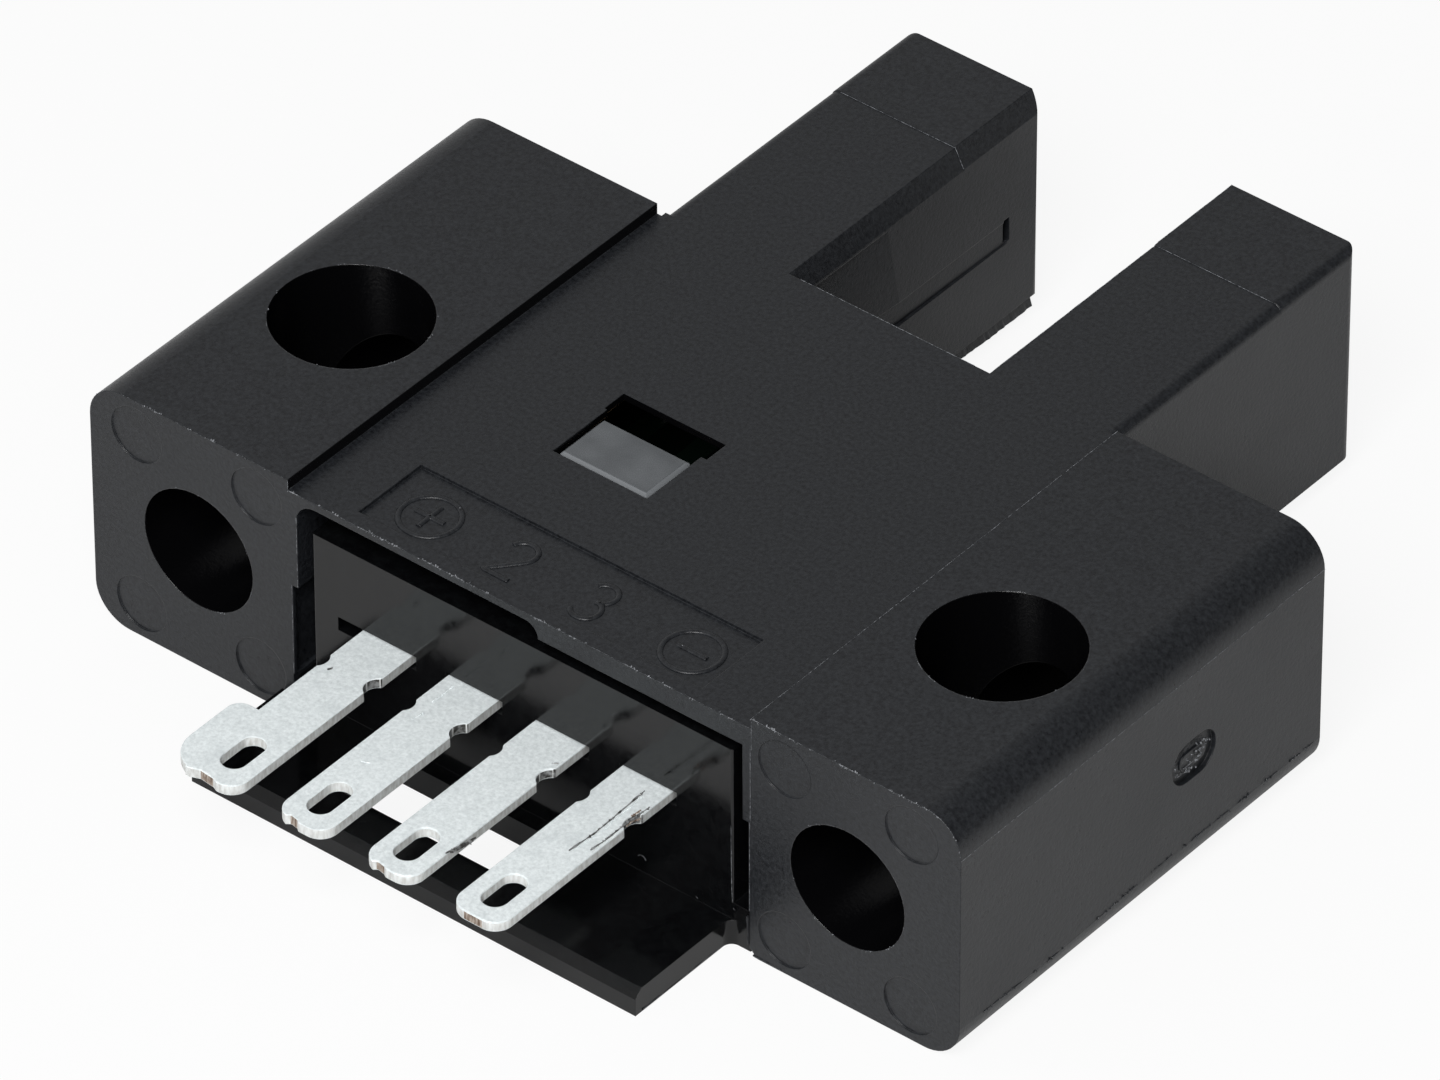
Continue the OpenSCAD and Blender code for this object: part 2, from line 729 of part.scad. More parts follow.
// Moulded package with a round lens that looks across the slot
module package(side)
    on_side(side)
        union() {
            span([package_x, axis_y - package_l / 2, seat_z],
                 [package_x + package_w, axis_y + package_l / 2, seat_z + package_h - 2 * solder]);
            translate([package_x, axis_y, axis_h])
                intersection() {
                    sphere(bead_r);
                    translate([-bead_r, -bead_r, -bead_r])
                        cube([bead_r + fit_gap, 2 * bead_r, 2 * bead_r]);
                }
        }

// Flat leads that leave the back of a package and lie on the board
module package_leads(side, count)
    on_side(side)
        for (i = [0:count - 1])
            let (y = axis_y + (i - (count - 1) / 2) * package_l / count)
                span([package_x + package_w + solder, y - lead_w / 2, seat_z],
                     [arm_out - fit_gap, y + lead_w / 2, seat_z + lead_t]);

module infrared_emitter()
    color("#9fb2c4")
        package(1);

module emitter_leads()
    color("#c9cfd0")
        package_leads(1, 2);

module photodetector()
    color("#26211f")
        package(-1);

module detector_leads()
    color("#c9cfd0")
        package_leads(-1, 4);

// A small two-ended chip that lies along X
module chip(x, y, height)
    translate([x - chip_l / 2, y - chip_w / 2, seat_z])
        cube([chip_l, chip_w, height]);

module indicator_led()
    color("#d9d2c0")
        chip(lens_x, chip_y, lamp_h);

module emitter_resistor()
    color("#3a3a3c")
        chip(chip_x, chip_y + chip_row, resistor_h);

module indicator_resistor()
    color("#3a3a3c")
        chip(-chip_x, chip_y + chip_row, resistor_h);

module bypass_capacitor()
    color("#b9986c")
        chip(capacitor_x, chip_y + 2 * chip_row, capacitor_h);

module output_transistor()
    color("#242424")
        translate([transistor_x, transistor_y, seat_z + transistor_lift + transistor_h / 2])
            cube([transistor_l, transistor_w, transistor_h], center = true);

// Three gull-wing leads, two on the near side and one on the far side
module transistor_leads()
    color("#c9cfd0")
        for (lead = [[-wing_pitch, -1], [wing_pitch, -1], [0, 1]])
            translate([transistor_x + lead.x, transistor_y + lead.y * transistor_w / 2, seat_z])
                rotate(lead.y < 0 ? 180 : 0)
                    translate([-wing_w / 2, solder / 2, 0])
                        rotate([90, 0, 90])
                            linear_extrude(wing_w)
                                gull_wing();

// Side view of one lead: out of the body, down, and out along the board
module gull_wing()
    let (exit_z = transistor_lift + 1.5 * lead_t)
        polygon([[0, exit_z + lead_t], [1.7 * lead_t, exit_z + lead_t], [1.7 * lead_t, lead_t],
                 [1.7 * lead_t + wing_foot, lead_t], [1.7 * lead_t + wing_foot, 0],
                 [0.7 * lead_t, 0], [0.7 * lead_t, exit_z], [0, exit_z]]);

housing();
terminal_holder();
terminal_supply();
terminal_mode();
terminal_output();
terminal_ground();
indicator_window();
circuit_board();
infrared_emitter();
emitter_leads();
photodetector();
detector_leads();
indicator_led();
output_transistor();
transistor_leads();
emitter_resistor();
indicator_resistor();
bypass_capacitor();
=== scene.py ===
import math
import random

import bmesh
import bpy
from mathutils import Matrix, Vector


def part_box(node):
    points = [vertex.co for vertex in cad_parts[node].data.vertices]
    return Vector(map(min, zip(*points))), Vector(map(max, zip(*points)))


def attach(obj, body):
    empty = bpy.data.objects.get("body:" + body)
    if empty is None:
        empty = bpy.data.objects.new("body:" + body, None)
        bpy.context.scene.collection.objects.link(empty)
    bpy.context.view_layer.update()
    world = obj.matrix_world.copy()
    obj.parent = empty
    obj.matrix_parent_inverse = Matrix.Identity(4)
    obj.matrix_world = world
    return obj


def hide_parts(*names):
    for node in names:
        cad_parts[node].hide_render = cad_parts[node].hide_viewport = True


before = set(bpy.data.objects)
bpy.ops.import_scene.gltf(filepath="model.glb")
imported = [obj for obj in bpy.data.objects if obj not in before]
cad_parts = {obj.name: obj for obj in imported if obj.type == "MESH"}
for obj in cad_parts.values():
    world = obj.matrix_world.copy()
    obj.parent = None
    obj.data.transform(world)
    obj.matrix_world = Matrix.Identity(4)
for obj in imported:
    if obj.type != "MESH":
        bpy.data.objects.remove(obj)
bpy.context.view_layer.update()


# The housing is one black moulding of glass-filled polyester: both screw flanges,
# the middle and the two fork legs. The mould is spark eroded, so every outer face
# has a fine grain, and its sharp edges come out whitened and slightly ragged.
MM = 0.001  # lengths are written in millimetres and turned into metres


def srgb(code):
    """Turns a hex colour as it is seen into the linear values that a shader takes."""
    parts = [int(code[i:i + 2], 16) / 255 for i in (1, 3, 5)]
    return [c / 12.92 if c <= 0.04045 else ((c + 0.055) / 1.055) ** 2.4 for c in parts] + [1.0]


def plug(tree, node, **links):
    """Gives a node's inputs, by name or as in0, in1, a value each or a link from another socket."""
    for name, value in links.items():
        key = int(name[2:]) if name.startswith("in") and name[2:].isdigit() else name.replace("_", " ")
        if isinstance(value, bpy.types.NodeSocket):
            tree.links.new(value, node.inputs[key])
        else:
            node.inputs[key].default_value = value


def add_node(tree, kind, settings=None, **links):
    """Adds one node. settings are its own properties, links go to its inputs."""
    made = tree.nodes.new(kind)
    for name, value in (settings or {}).items():
        setattr(made, name, value)
    plug(tree, made, **links)
    return made


def start_material(name):
    """A new material with one Principled shader, and the place on the piece that its pattern reads."""
    made = bpy.data.materials.new(name)
    made.use_nodes = True
    tree = made.node_tree
    tree.nodes.clear()
    out = tree.nodes.new("ShaderNodeOutputMaterial")
    shader = tree.nodes.new("ShaderNodeBsdfPrincipled")
    tree.links.new(shader.outputs[0], out.inputs["Surface"])
    place = add_node(tree, "ShaderNodeTexCoord").outputs["Object"]
    return made, tree, shader, place


def finish_cad_node(name, material):
    """Gives a carried-over solid its finish."""
    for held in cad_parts[name].material_slots:
        held.material = material


def noise(tree, place, size_mm, detail, roughness=0.5):
    """A noise texture whose largest lumps are about size_mm across."""
    return add_node(tree, "ShaderNodeTexNoise", Vector=place, Scale=1 / (size_mm * MM), Detail=detail,
                    Roughness=roughness)


def calculate(tree, operation, *values):
    """A Math node on sockets or numbers."""
    return add_node(tree, "ShaderNodeMath", {"operation": operation}, **{f"in{i}": v for i, v in enumerate(values)})


def ramp(tree, value, start, end, low=0.0, high=1.0):
    """A clamped Map Range that takes start..end to low..high."""
    return add_node(tree, "ShaderNodeMapRange", Value=value, From_Min=start, From_Max=end, To_Min=low, To_Max=high)


def blend(tree, factor, first, second):
    """A colour mix; each colour is a hex code or a socket."""
    made = add_node(tree, "ShaderNodeMix", {"data_type": "RGBA"}, Factor=factor)
    for key, colour in (("A", first), ("B", second)):
        if isinstance(colour, str):
            made.inputs[key].default_value = srgb(colour)
        else:
            tree.links.new(colour, made.inputs[key])
    return made


def two_tones(tree, source, start, end, first, second):
    """Takes a noise from start to end as a change from the first hex colour to the second."""
    return blend(tree, ramp(tree, source.outputs["Fac"], start, end).outputs[0], first, second)


# Polyester from a spark-eroded mould: grains of about 0.1 mm scatter the light, the
# resin-rich skin varies in gloss over a few millimetres, and the knocked edges in
# front turn grey. Polished core pins form the bores, the window pocket and the low
# step beside the left flange, which are glossier; these hollows and the step's wall
# are also painted a deeper black, as painted shade.
front, back, middle_top, flange_top = -5.5, 7.7, 6.6, 6.9
joint_x, end_x, corner = 6.75, 12.7, 1.0
hole_x, hole_z, upright_r, level_r = 9.5, 3.45, 1.95, 1.625
pocket_middle, pocket_half = (-1.62, 0.7, 5.0), (1.6, 1.42, 1.59)
hair = 0.005  # a mask reaches this far past its faces
knock_reach, greyest = 0.2, 0.45  # how far from an edge the knocks show, and their strength
moulded_polyester, tree, shader, place = start_material("moulded_black_polyester")
grain = noise(tree, place, 0.11, 4.0, 0.7)
flow = noise(tree, place, 2.4, 3.0, 0.6)
black = two_tones(tree, grain, 0.32, 0.68, "#0d0e11", "#222427")
rounded = add_node(tree, "ShaderNodeBevel", {"samples": 8}, Radius=0.035 * MM)
facing = add_node(tree, "ShaderNodeNewGeometry")
turned = add_node(tree, "ShaderNodeVectorMath", {"operation": "DOT_PRODUCT"}, in0=rounded.outputs[0],
                  in1=facing.outputs["Normal"])
edge = ramp(tree, turned.outputs["Value"], 0.97, 0.86)
chips = noise(tree, place, 0.16, 2.0, 0.8)
chipped = ramp(tree, chips.outputs["Fac"], 0.5, 0.66)
worn = calculate(tree, "MULTIPLY", edge.outputs[0], chipped.outputs[0])
axes = add_node(tree, "ShaderNodeSeparateXYZ", Vector=place)
in_front = calculate(tree, "LESS_THAN", axes.outputs["Y"], (front + knock_reach) * MM)
at_top = calculate(tree, "GREATER_THAN", axes.outputs["Z"], (middle_top - knock_reach) * MM)
knocked = calculate(tree, "MULTIPLY", in_front.outputs[0], at_top.outputs[0])
worn = calculate(tree, "MULTIPLY", worn.outputs[0], knocked.outputs[0])
worn = calculate(tree, "MULTIPLY", worn.outputs[0], greyest)
skin = blend(tree, worn.outputs[0], black.outputs["Result"], "#5d6063")
side_x = calculate(tree, "ABSOLUTE", axes.outputs["X"])
off_x = calculate(tree, "SUBTRACT", side_x.outputs[0], hole_x * MM)
off_z = calculate(tree, "SUBTRACT", axes.outputs["Z"], hole_z * MM)
upright = add_node(tree, "ShaderNodeCombineXYZ", X=off_x.outputs[0], Y=axes.outputs["Y"])
level = add_node(tree, "ShaderNodeCombineXYZ", X=off_x.outputs[0], Y=off_z.outputs[0])
upright = add_node(tree, "ShaderNodeVectorMath", {"operation": "LENGTH"}, in0=upright.outputs[0])
level = add_node(tree, "ShaderNodeVectorMath", {"operation": "LENGTH"}, in0=level.outputs[0])
in_upright = calculate(tree, "LESS_THAN", upright.outputs["Value"], (upright_r + hair) * MM)
in_level = calculate(tree, "LESS_THAN", level.outputs["Value"], (level_r + hair) * MM)
painted_shade_hollows = calculate(tree, "MAXIMUM", in_upright.outputs[0], in_level.outputs[0])
pocket = add_node(tree, "ShaderNodeVectorMath", {"operation": "SUBTRACT"}, in0=place,
                  in1=[c * MM for c in pocket_middle])
pocket = add_node(tree, "ShaderNodeVectorMath", {"operation": "ABSOLUTE"}, in0=pocket.outputs[0])
pocket = add_node(tree, "ShaderNodeSeparateXYZ", Vector=pocket.outputs[0])
inside = [calculate(tree, "LESS_THAN", away, half * MM) for away, half in zip(pocket.outputs, pocket_half)]
in_pocket = calculate(tree, "MULTIPLY", inside[0].outputs[0], inside[1].outputs[0])
in_pocket = calculate(tree, "MULTIPLY", in_pocket.outputs[0], inside[2].outputs[0])
painted_shade_hollows = calculate(tree, "MAXIMUM", painted_shade_hollows.outputs[0], in_pocket.outputs[0])
at_step = calculate(tree, "COMPARE", axes.outputs["X"], -joint_x * MM, 2 * hair * MM)
over_step = calculate(tree, "GREATER_THAN", axes.outputs["Z"], (middle_top + 2 * hair) * MM)
step_wall = calculate(tree, "MULTIPLY", at_step.outputs[0], over_step.outputs[0])
painted_shade_hollows = calculate(tree, "MAXIMUM", painted_shade_hollows.outputs[0], step_wall.outputs[0])
# painted shade: the bores, the window pocket and the left step's wall are painted near black
skin = blend(tree, painted_shade_hollows.outputs[0], skin.outputs["Result"], "#050506")
matt = ramp(tree, flow.outputs["Fac"], 0.3, 0.7, 0.3, 0.37)
speck = ramp(tree, grain.outputs["Fac"], 0.3, 0.7, -0.05, 0.07)
gloss = calculate(tree, "ADD", matt.outputs[0], speck.outputs[0])
gloss = add_node(tree, "ShaderNodeMix", {"data_type": "FLOAT"}, Factor=painted_shade_hollows.outputs[0], A=gloss.outputs[0], B=0.16)
bump = add_node(tree, "ShaderNodeBump", Height=grain.outputs["Fac"], Distance=0.014 * MM, Strength=0.6,
                Normal=rounded.outputs[0])
plug(tree, shader, Base_Color=skin.outputs["Result"], Roughness=gloss.outputs[0], Normal=bump.outputs[0], IOR=1.5,
     Specular_IOR_Level=0.34)
finish_cad_node("housing", moulded_polyester)

# Flash and whitened chips on the housing's edges. Where the mould's halves and
# slides meet, a thread of resin squeezes out; it breaks off in crumbs that catch
# the light along the front edges, the hole rims, the leg tips and the slot.
# The same pale finish is also painted highlight, on the joint and jamb edges and as glints on the legend.
pale_flash_and_highlight, tree, shader, place = start_material("broken_polyester_flash")
grain = noise(tree, place, 0.08, 2.0)
pale = two_tones(tree, grain, 0.4, 0.6, "#303235", "#74767a")
plug(tree, shader, Base_Color=pale.outputs["Result"], Roughness=0.5, Specular_IOR_Level=0.4)

# The same resin where it is only squeezed out, not broken: black and a little glossier.
flash_skin, tree, shader, place = start_material("glossy_polyester_flash")
grain = noise(tree, place, 0.1, 3.0)
dark = two_tones(tree, grain, 0.4, 0.6, "#15171a", "#2a2c2f")
gloss = ramp(tree, grain.outputs["Fac"], 0.0, 1.0, 0.25, 0.5)
plug(tree, shader, Base_Color=dark.outputs["Result"], Roughness=gloss.outputs[0])


def start_geometry_tree(name, inputs):
    """A geometry tree with a Geometry input and output and the named inputs, each with its default."""
    tree = bpy.data.node_groups.new(name, "GeometryNodeTree")
    tree.interface.new_socket("Geometry", in_out="INPUT", socket_type="NodeSocketGeometry")
    for label, kind, value in inputs:
        made = tree.interface.new_socket(label, in_out="INPUT", socket_type=kind)
        if value is not None:
            made.default_value = value
    tree.interface.new_socket("Geometry", in_out="OUTPUT", socket_type="NodeSocketGeometry")
    return tree, tree.nodes.new("NodeGroupInput").outputs, tree.nodes.new("NodeGroupOutput").inputs


# A thread of uneven thickness follows each line, and crumbs sit on it in clusters.
flash_line, given, result = start_geometry_tree("flash_line", (
    ("Thread", "NodeSocketFloat", 0.012 * MM), ("Crumb", "NodeSocketFloat", 0.03 * MM),
    ("Spacing", "NodeSocketFloat", 0.06 * MM), ("Scatter", "NodeSocketFloat", 0.02 * MM),
    ("Bare share", "NodeSocketFloat", 0.5), ("Seed", "NodeSocketInt", 1), ("Finish", "NodeSocketMaterial", None)))
tree = flash_line
line = add_node(tree, "GeometryNodeMeshToCurve", Mesh=given["Geometry"])
steps = add_node(tree, "GeometryNodeResampleCurve", {"mode": "LENGTH"}, Curve=line.outputs[0], Length=given["Spacing"])
where = add_node(tree, "GeometryNodeInputPosition")
swell = add_node(tree, "ShaderNodeTexNoise", {"noise_dimensions": "4D"}, Vector=where.outputs[0], W=given["Seed"],
                 Scale=1 / (0.35 * MM), Detail=3.0)
width = ramp(tree, swell.outputs["Fac"], given["Bare share"], 0.75, 0.05, 1.0)
width = calculate(tree, "MULTIPLY", width.outputs[0], given["Thread"])
round_five = add_node(tree, "GeometryNodeCurvePrimitiveCircle", Resolution=5, Radius=1.0)
thread = add_node(tree, "GeometryNodeCurveToMesh", Curve=steps.outputs[0], Profile_Curve=round_five.outputs[0],
                  Scale=width.outputs[0], Fill_Caps=True)
stray = add_node(tree, "FunctionNodeRandomValue", {"data_type": "FLOAT_VECTOR"}, Seed=given["Seed"])
stray.inputs[0].default_value, stray.inputs[1].default_value = (-1, -1, -1), (1, 1, 1)
reach = add_node(tree, "ShaderNodeVectorMath", {"operation": "SCALE"}, in0=stray.outputs[0], Scale=given["Scatter"])
spots = add_node(tree, "GeometryNodeCurveToPoints", {"mode": "EVALUATED"}, Curve=steps.outputs[0])
spots = add_node(tree, "GeometryNodeSetPosition", Geometry=spots.outputs[0], Offset=reach.outputs[0])
kept = add_node(tree, "FunctionNodeCompare", {"data_type": "FLOAT", "operation": "GREATER_THAN"},
                in0=swell.outputs["Fac"], in1=given["Bare share"])
crumb = add_node(tree, "GeometryNodeMeshIcoSphere", Radius=1.0, Subdivisions=1)
lean = add_node(tree, "FunctionNodeRandomValue", {"data_type": "FLOAT_VECTOR"}, Seed=given["Seed"])
lean.inputs[0].default_value, lean.inputs[1].default_value = (0, 0, 0), (6.28, 6.28, 6.28)  # whole turns
grow = add_node(tree, "FunctionNodeRandomValue", {"data_type": "FLOAT_VECTOR"}, Seed=given["Seed"])
grow.inputs[0].default_value, grow.inputs[1].default_value = (0.3, 0.2, 0.2), (1.0, 0.6, 0.5)
sized = add_node(tree, "ShaderNodeVectorMath", {"operation": "SCALE"}, in0=grow.outputs[0], Scale=given["Crumb"])
crumbs = add_node(tree, "GeometryNodeInstanceOnPoints", Points=spots.outputs[0], Selection=kept.outputs[0],
                  Instance=crumb.outputs[0], Rotation=lean.outputs[0], Scale=sized.outputs[0])
joined = add_node(tree, "GeometryNodeJoinGeometry")
tree.links.new(crumbs.outputs[0], joined.inputs[0])
tree.links.new(thread.outputs[0], joined.inputs[0])
solid = add_node(tree, "GeometryNodeRealizeInstances", Geometry=joined.outputs[0])
done = add_node(tree, "GeometryNodeSetMaterial", Geometry=solid.outputs[0], Material=given["Finish"])
tree.links.new(done.outputs[0], result[0])


def grow_on_lines(name, tree, lines, slot, **values):
    """Runs a geometry tree on polylines given in mm and returns the plain mesh object that rides on the body."""
    mesh = bpy.data.meshes.new(name)
    points, edges = [], []
    for row in lines:
        first = len(points)
        points += [tuple(c * MM for c in p) for p in row]
        edges += [(first + i, first + i + 1) for i in range(len(row) - 1)]
    mesh.from_pydata(points, edges, [])
    seedling = bpy.data.objects.new(name + "_lines", mesh)
    bpy.context.collection.objects.link(seedling)
    grown = seedling.modifiers.new("grown", "NODES")
    grown.node_group = tree
    for socket in tree.interface.items_tree:
        if socket.item_type == "SOCKET" and socket.in_out == "INPUT" and socket.name.replace(" ", "_") in values:
            grown[socket.identifier] = values[socket.name.replace(" ", "_")]
    bpy.context.view_layer.update()
    shown = seedling.evaluated_get(bpy.context.evaluated_depsgraph_get())
    plain = bpy.data.meshes.new_from_object(shown)
    seedling.modifiers.remove(grown)
    bpy.data.objects.remove(seedling)
    made = bpy.data.objects.new(name, plain)
    bpy.context.collection.objects.link(made)
    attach(made, "root")
    return made


def arc(centre, radius, start, end, plane="xy", steps=40):
    """Points on an arc in degrees, in the plane named: xy lies flat, xz stands upright."""
    row = []
    for i in range(steps + 1):
        t = math.radians(start + (end - start) * i / steps)
        a, b = radius * math.cos(t), radius * math.sin(t)
        row.append((centre[0] + a, centre[1] + b, centre[2]) if plane == "xy" else
                   (centre[0] + a, centre[1], centre[2] + b))
    return row


right_corner = arc((end_x - corner, front, flange_top - corner), corner, 90, 8, "xz", 12)
left_corner = arc((corner - end_x, front, flange_top - corner), corner, 90, 150, "xz", 8)
grow_on_lines("flash_front_lip", flash_line, [
    [(-joint_x, front, middle_top), (-2.2, front, middle_top), (2.2, front, middle_top), (joint_x, front, middle_top)],
    [(joint_x, front, flange_top), (end_x - corner, front, flange_top)] + right_corner], "black_moulding",
    Thread=0.018 * MM, Crumb=0.045 * MM, Spacing=0.07 * MM, Scatter=0.025 * MM, Bare_share=0.5, Seed=3,
    Finish=pale_flash_and_highlight)
grow_on_lines("flash_left_flange", flash_line, [
    [(-joint_x, front, flange_top), (corner - end_x, front, flange_top)] + left_corner], "black_moulding",
    Thread=0.012 * MM, Crumb=0.04 * MM, Spacing=0.06 * MM, Scatter=0.03 * MM, Bare_share=0.55, Seed=8,
    Finish=pale_flash_and_highlight)
# The pale threads on these joint, jamb and end edges are flash whose pale colour is also painted highlight, for the
# light these edges catch.
grow_on_lines("flash_joint_lines", flash_line, [
    [(joint_x, front, flange_top), (joint_x, back, flange_top)],
    [(joint_x, front, 6.0), (joint_x, front, flange_top)],
    [(6.7, front, 3.86), (6.7, front, 1.3)], [(6.72, front, 6.0), (6.72, front, 3.9)],
    [(-6.52, front, 5.9), (-6.52, front, 3.9)], [(-6.7, front, 3.86), (-6.7, front, 1.3)],
    [(-joint_x, front, flange_top), (-joint_x, front, middle_top)],
    [(end_x, front, flange_top - corner), (end_x, back, flange_top - corner)]], "black_moulding",
    Thread=0.01 * MM, Crumb=0.016 * MM, Spacing=0.06 * MM, Scatter=0.006 * MM, Bare_share=0.3, Seed=5,
    Finish=pale_flash_and_highlight)
grow_on_lines("flash_hole_rims", flash_line, [
    arc((hole_x, 0, flange_top), upright_r + 0.02, 0, 360), arc((-hole_x, 0, flange_top), upright_r + 0.02, 0, 360),
    arc((hole_x, front, hole_z), level_r + 0.015, 0, 360, "xz"),
    arc((-hole_x, front, hole_z), level_r + 0.015, 0, 360, "xz")], "black_moulding",
    Thread=0.008 * MM, Crumb=0.03 * MM, Spacing=0.07 * MM, Scatter=0.02 * MM, Bare_share=0.57, Seed=12,
    Finish=pale_flash_and_highlight)
leg_root, pad_y, leg_end = 7.85, 14.0, 16.9  # where a leg and its pad begin, and where both end
inner, outer = 2.95, 6.36  # the leg's flat top lies between its slanted and its rounded edge
grow_on_lines("flash_leg_tips", flash_line, [
    [(inner, pad_y, middle_top), (outer, pad_y, middle_top)],
    [(-inner, pad_y, middle_top), (-outer, pad_y, middle_top)],
    [(inner, leg_root, middle_top), (inner, pad_y - 0.1, middle_top)],
    [(inner, pad_y + 0.1, 6.63), (inner, leg_end, 6.63)], [(-inner, pad_y, 6.62), (-2.69, pad_y, 6.1)],
    [(2.5, leg_root, middle_top), (-2.6, leg_root, middle_top)]], "black_moulding",
    Thread=0.013 * MM, Crumb=0.005 * MM, Spacing=0.07 * MM, Scatter=0.001 * MM, Bare_share=0.1, Seed=21,
    Finish=pale_flash_and_highlight)


def ragged_fin(name, line, across, least, most, thickness, seed, material):
    """A thin fin of flash along a line in mm, hanging in the direction across, with a torn free edge."""
    random.seed(seed)
    step, jag, wander = 0.09, 0.18, 0.4  # mm between tears, and how much each changes the depth and the tip
    thin = 0.4  # the tip's share of the thickness
    fin = bmesh.new()
    rings = []
    depth = (least + most) / 2
    lean = across.cross(Vector(line[-1]) - Vector(line[0])).normalized() * thickness / 2
    for a, b in zip(line, line[1:]):
        a, b = Vector(a), Vector(b)
        count = max(2, int((b - a).length / step))
        for i in range(count + (b == Vector(line[-1]))):
            depth = min(most, max(least, depth + random.uniform(-jag, jag) * (most - least)))
            at = a.lerp(b, i / count)
            tip = at + across * depth + lean * random.uniform(-wander, wander)
            rings.append([fin.verts.new(p * MM) for p in (at + lean, tip + lean * thin, tip - lean * thin, at - lean)])
    for one, two in zip(rings, rings[1:]):
        for k in range(4):
            fin.faces.new((one[k], one[(k + 1) % 4], two[(k + 1) % 4], two[k]))
    fin.faces.new(rings[0])
    fin.faces.new(rings[-1])
    bmesh.ops.recalc_face_normals(fin, faces=fin.faces)
    mesh = bpy.data.meshes.new(name)
    fin.to_mesh(mesh)
    fin.free()
    made = bpy.data.objects.new(name, mesh)
    bpy.context.collection.objects.link(made)
    made.data.materials.append(material)
    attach(made, "root")


# squeezed out along the parting lines under the legs, and torn off short
ragged_fin("fin_left_leg", [(-2.93, 7.9, 0.52), (-2.93, 16.85, 0.52)], Vector((0.35, 0, -0.94)), 0.2, 0.27, 0.06, 4,
           flash_skin)
ragged_fin("fin_right_leg", [(2.93, 7.9, 0.52), (2.93, 16.6, 0.52)], Vector((-0.35, 0, -0.94)), 0.03, 0.12, 0.05, 5,
           flash_skin)
ragged_fin("fin_right_corner", [(6.64, -5.46, 1.1), (6.66, -5.48, 0.3)], Vector((-0.3, -0.95, 0)), 0.02, 0.1, 0.05,
           6, moulded_polyester)
ragged_fin("fin_tongue", [(6.04, -8.5, 0.04), (6.04, -5.8, 0.04)], Vector((1, 0, 0)), 0.01, 0.07, 0.06, 8,
           flash_skin)
ragged_fin("fin_right_flange", [(6.8, -5.48, 0.04), (7.6, -5.48, 0.04)], Vector((0, -1, 0)), 0.01, 0.06, 0.06, 11,
           flash_skin)
grow_on_lines("chips_right_end", flash_line, [
    [(end_x, -4.6, 0.98), (end_x, -2.2, 0.93), (end_x, 0.5, 1.02), (end_x, 2.2, 1.08)],
    [(end_x, 2.6, 1.04), (end_x, 7.5, 1.0)]], "black_moulding",
    Thread=0.034 * MM, Crumb=0.05 * MM, Spacing=0.06 * MM, Scatter=0.02 * MM, Bare_share=0.47, Seed=9,
    Finish=flash_skin)

# The gate mark in the right end. The resin enters the mould here; when the runner
# is torn off it leaves a rough stub of frayed resin, sunk below the face.
gate_y, gate_z, gate_half_y, gate_half_z = 2.95, 3.45, 0.62, 0.34
columns, levels = 14, 9
random.seed(31)
torn = bmesh.new()
rows = []
for i in range(columns + 1):
    row = []
    for k in range(levels + 1):
        a, b = 2 * i / columns - 1, 2 * k / levels - 1
        rim = max(a * a, b * b)
        sink = 0.02 + 0.1 * rim + random.uniform(0, 0.07) * (1 - rim)
        row.append(torn.verts.new(((end_x - sink) * MM, (gate_y + a * gate_half_y * (1 - 0.18 * b * b)) * MM,
                                   (gate_z + b * gate_half_z * (1 - 0.3 * a * a)) * MM)))
    rows.append(row)
for i in range(columns):
    for k in range(levels):
        torn.faces.new((rows[i][k], rows[i + 1][k], rows[i + 1][k + 1], rows[i][k + 1]))
root_ring = bmesh.ops.extrude_edge_only(torn, edges=[e for e in torn.edges if e.is_boundary])
for v in [g for g in root_ring["geom"] if isinstance(g, bmesh.types.BMVert)]:
    v.co.x = (end_x - 0.2) * MM
bmesh.ops.holes_fill(torn, edges=[e for e in torn.edges if e.is_boundary], sides=0)
bmesh.ops.recalc_face_normals(torn, faces=torn.faces)
mesh = bpy.data.meshes.new("torn_gate")
torn.to_mesh(mesh)
torn.free()
torn_gate = bpy.data.objects.new("torn_gate", mesh)
bpy.context.collection.objects.link(torn_gate)
torn_gate.data.materials.append(flash_skin)
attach(torn_gate, "root")
grow_on_lines("torn_gate_fibres", flash_line, [
    [(end_x - 0.03, gate_y - 0.75, gate_z + 0.1), (end_x - 0.03, gate_y - 0.6, gate_z + 0.3)],
    [(end_x - 0.02, gate_y - 0.5, gate_z), (end_x, gate_y - 0.35, gate_z + 0.15)],
    [(end_x - 0.02, gate_y - 0.45, gate_z - 0.15), (end_x, gate_y + 0.3, gate_z - 0.05)],
    [(end_x - 0.02, gate_y - 0.1, gate_z + 0.1), (end_x, gate_y + 0.4, gate_z + 0.12)],
    [(end_x - 0.04, gate_y + 0.1, gate_z + 0.3), (end_x - 0.03, gate_y + 0.55, gate_z + 0.2)],
    [(end_x - 0.04, gate_y - 0.55, gate_z - 0.25), (end_x - 0.02, gate_y, gate_z - 0.28)]], "black_moulding",
    Thread=0.02 * MM, Crumb=0.05 * MM, Spacing=0.05 * MM, Scatter=0.05 * MM, Bare_share=0.45, Seed=6,
    Finish=pale_flash_and_highlight)

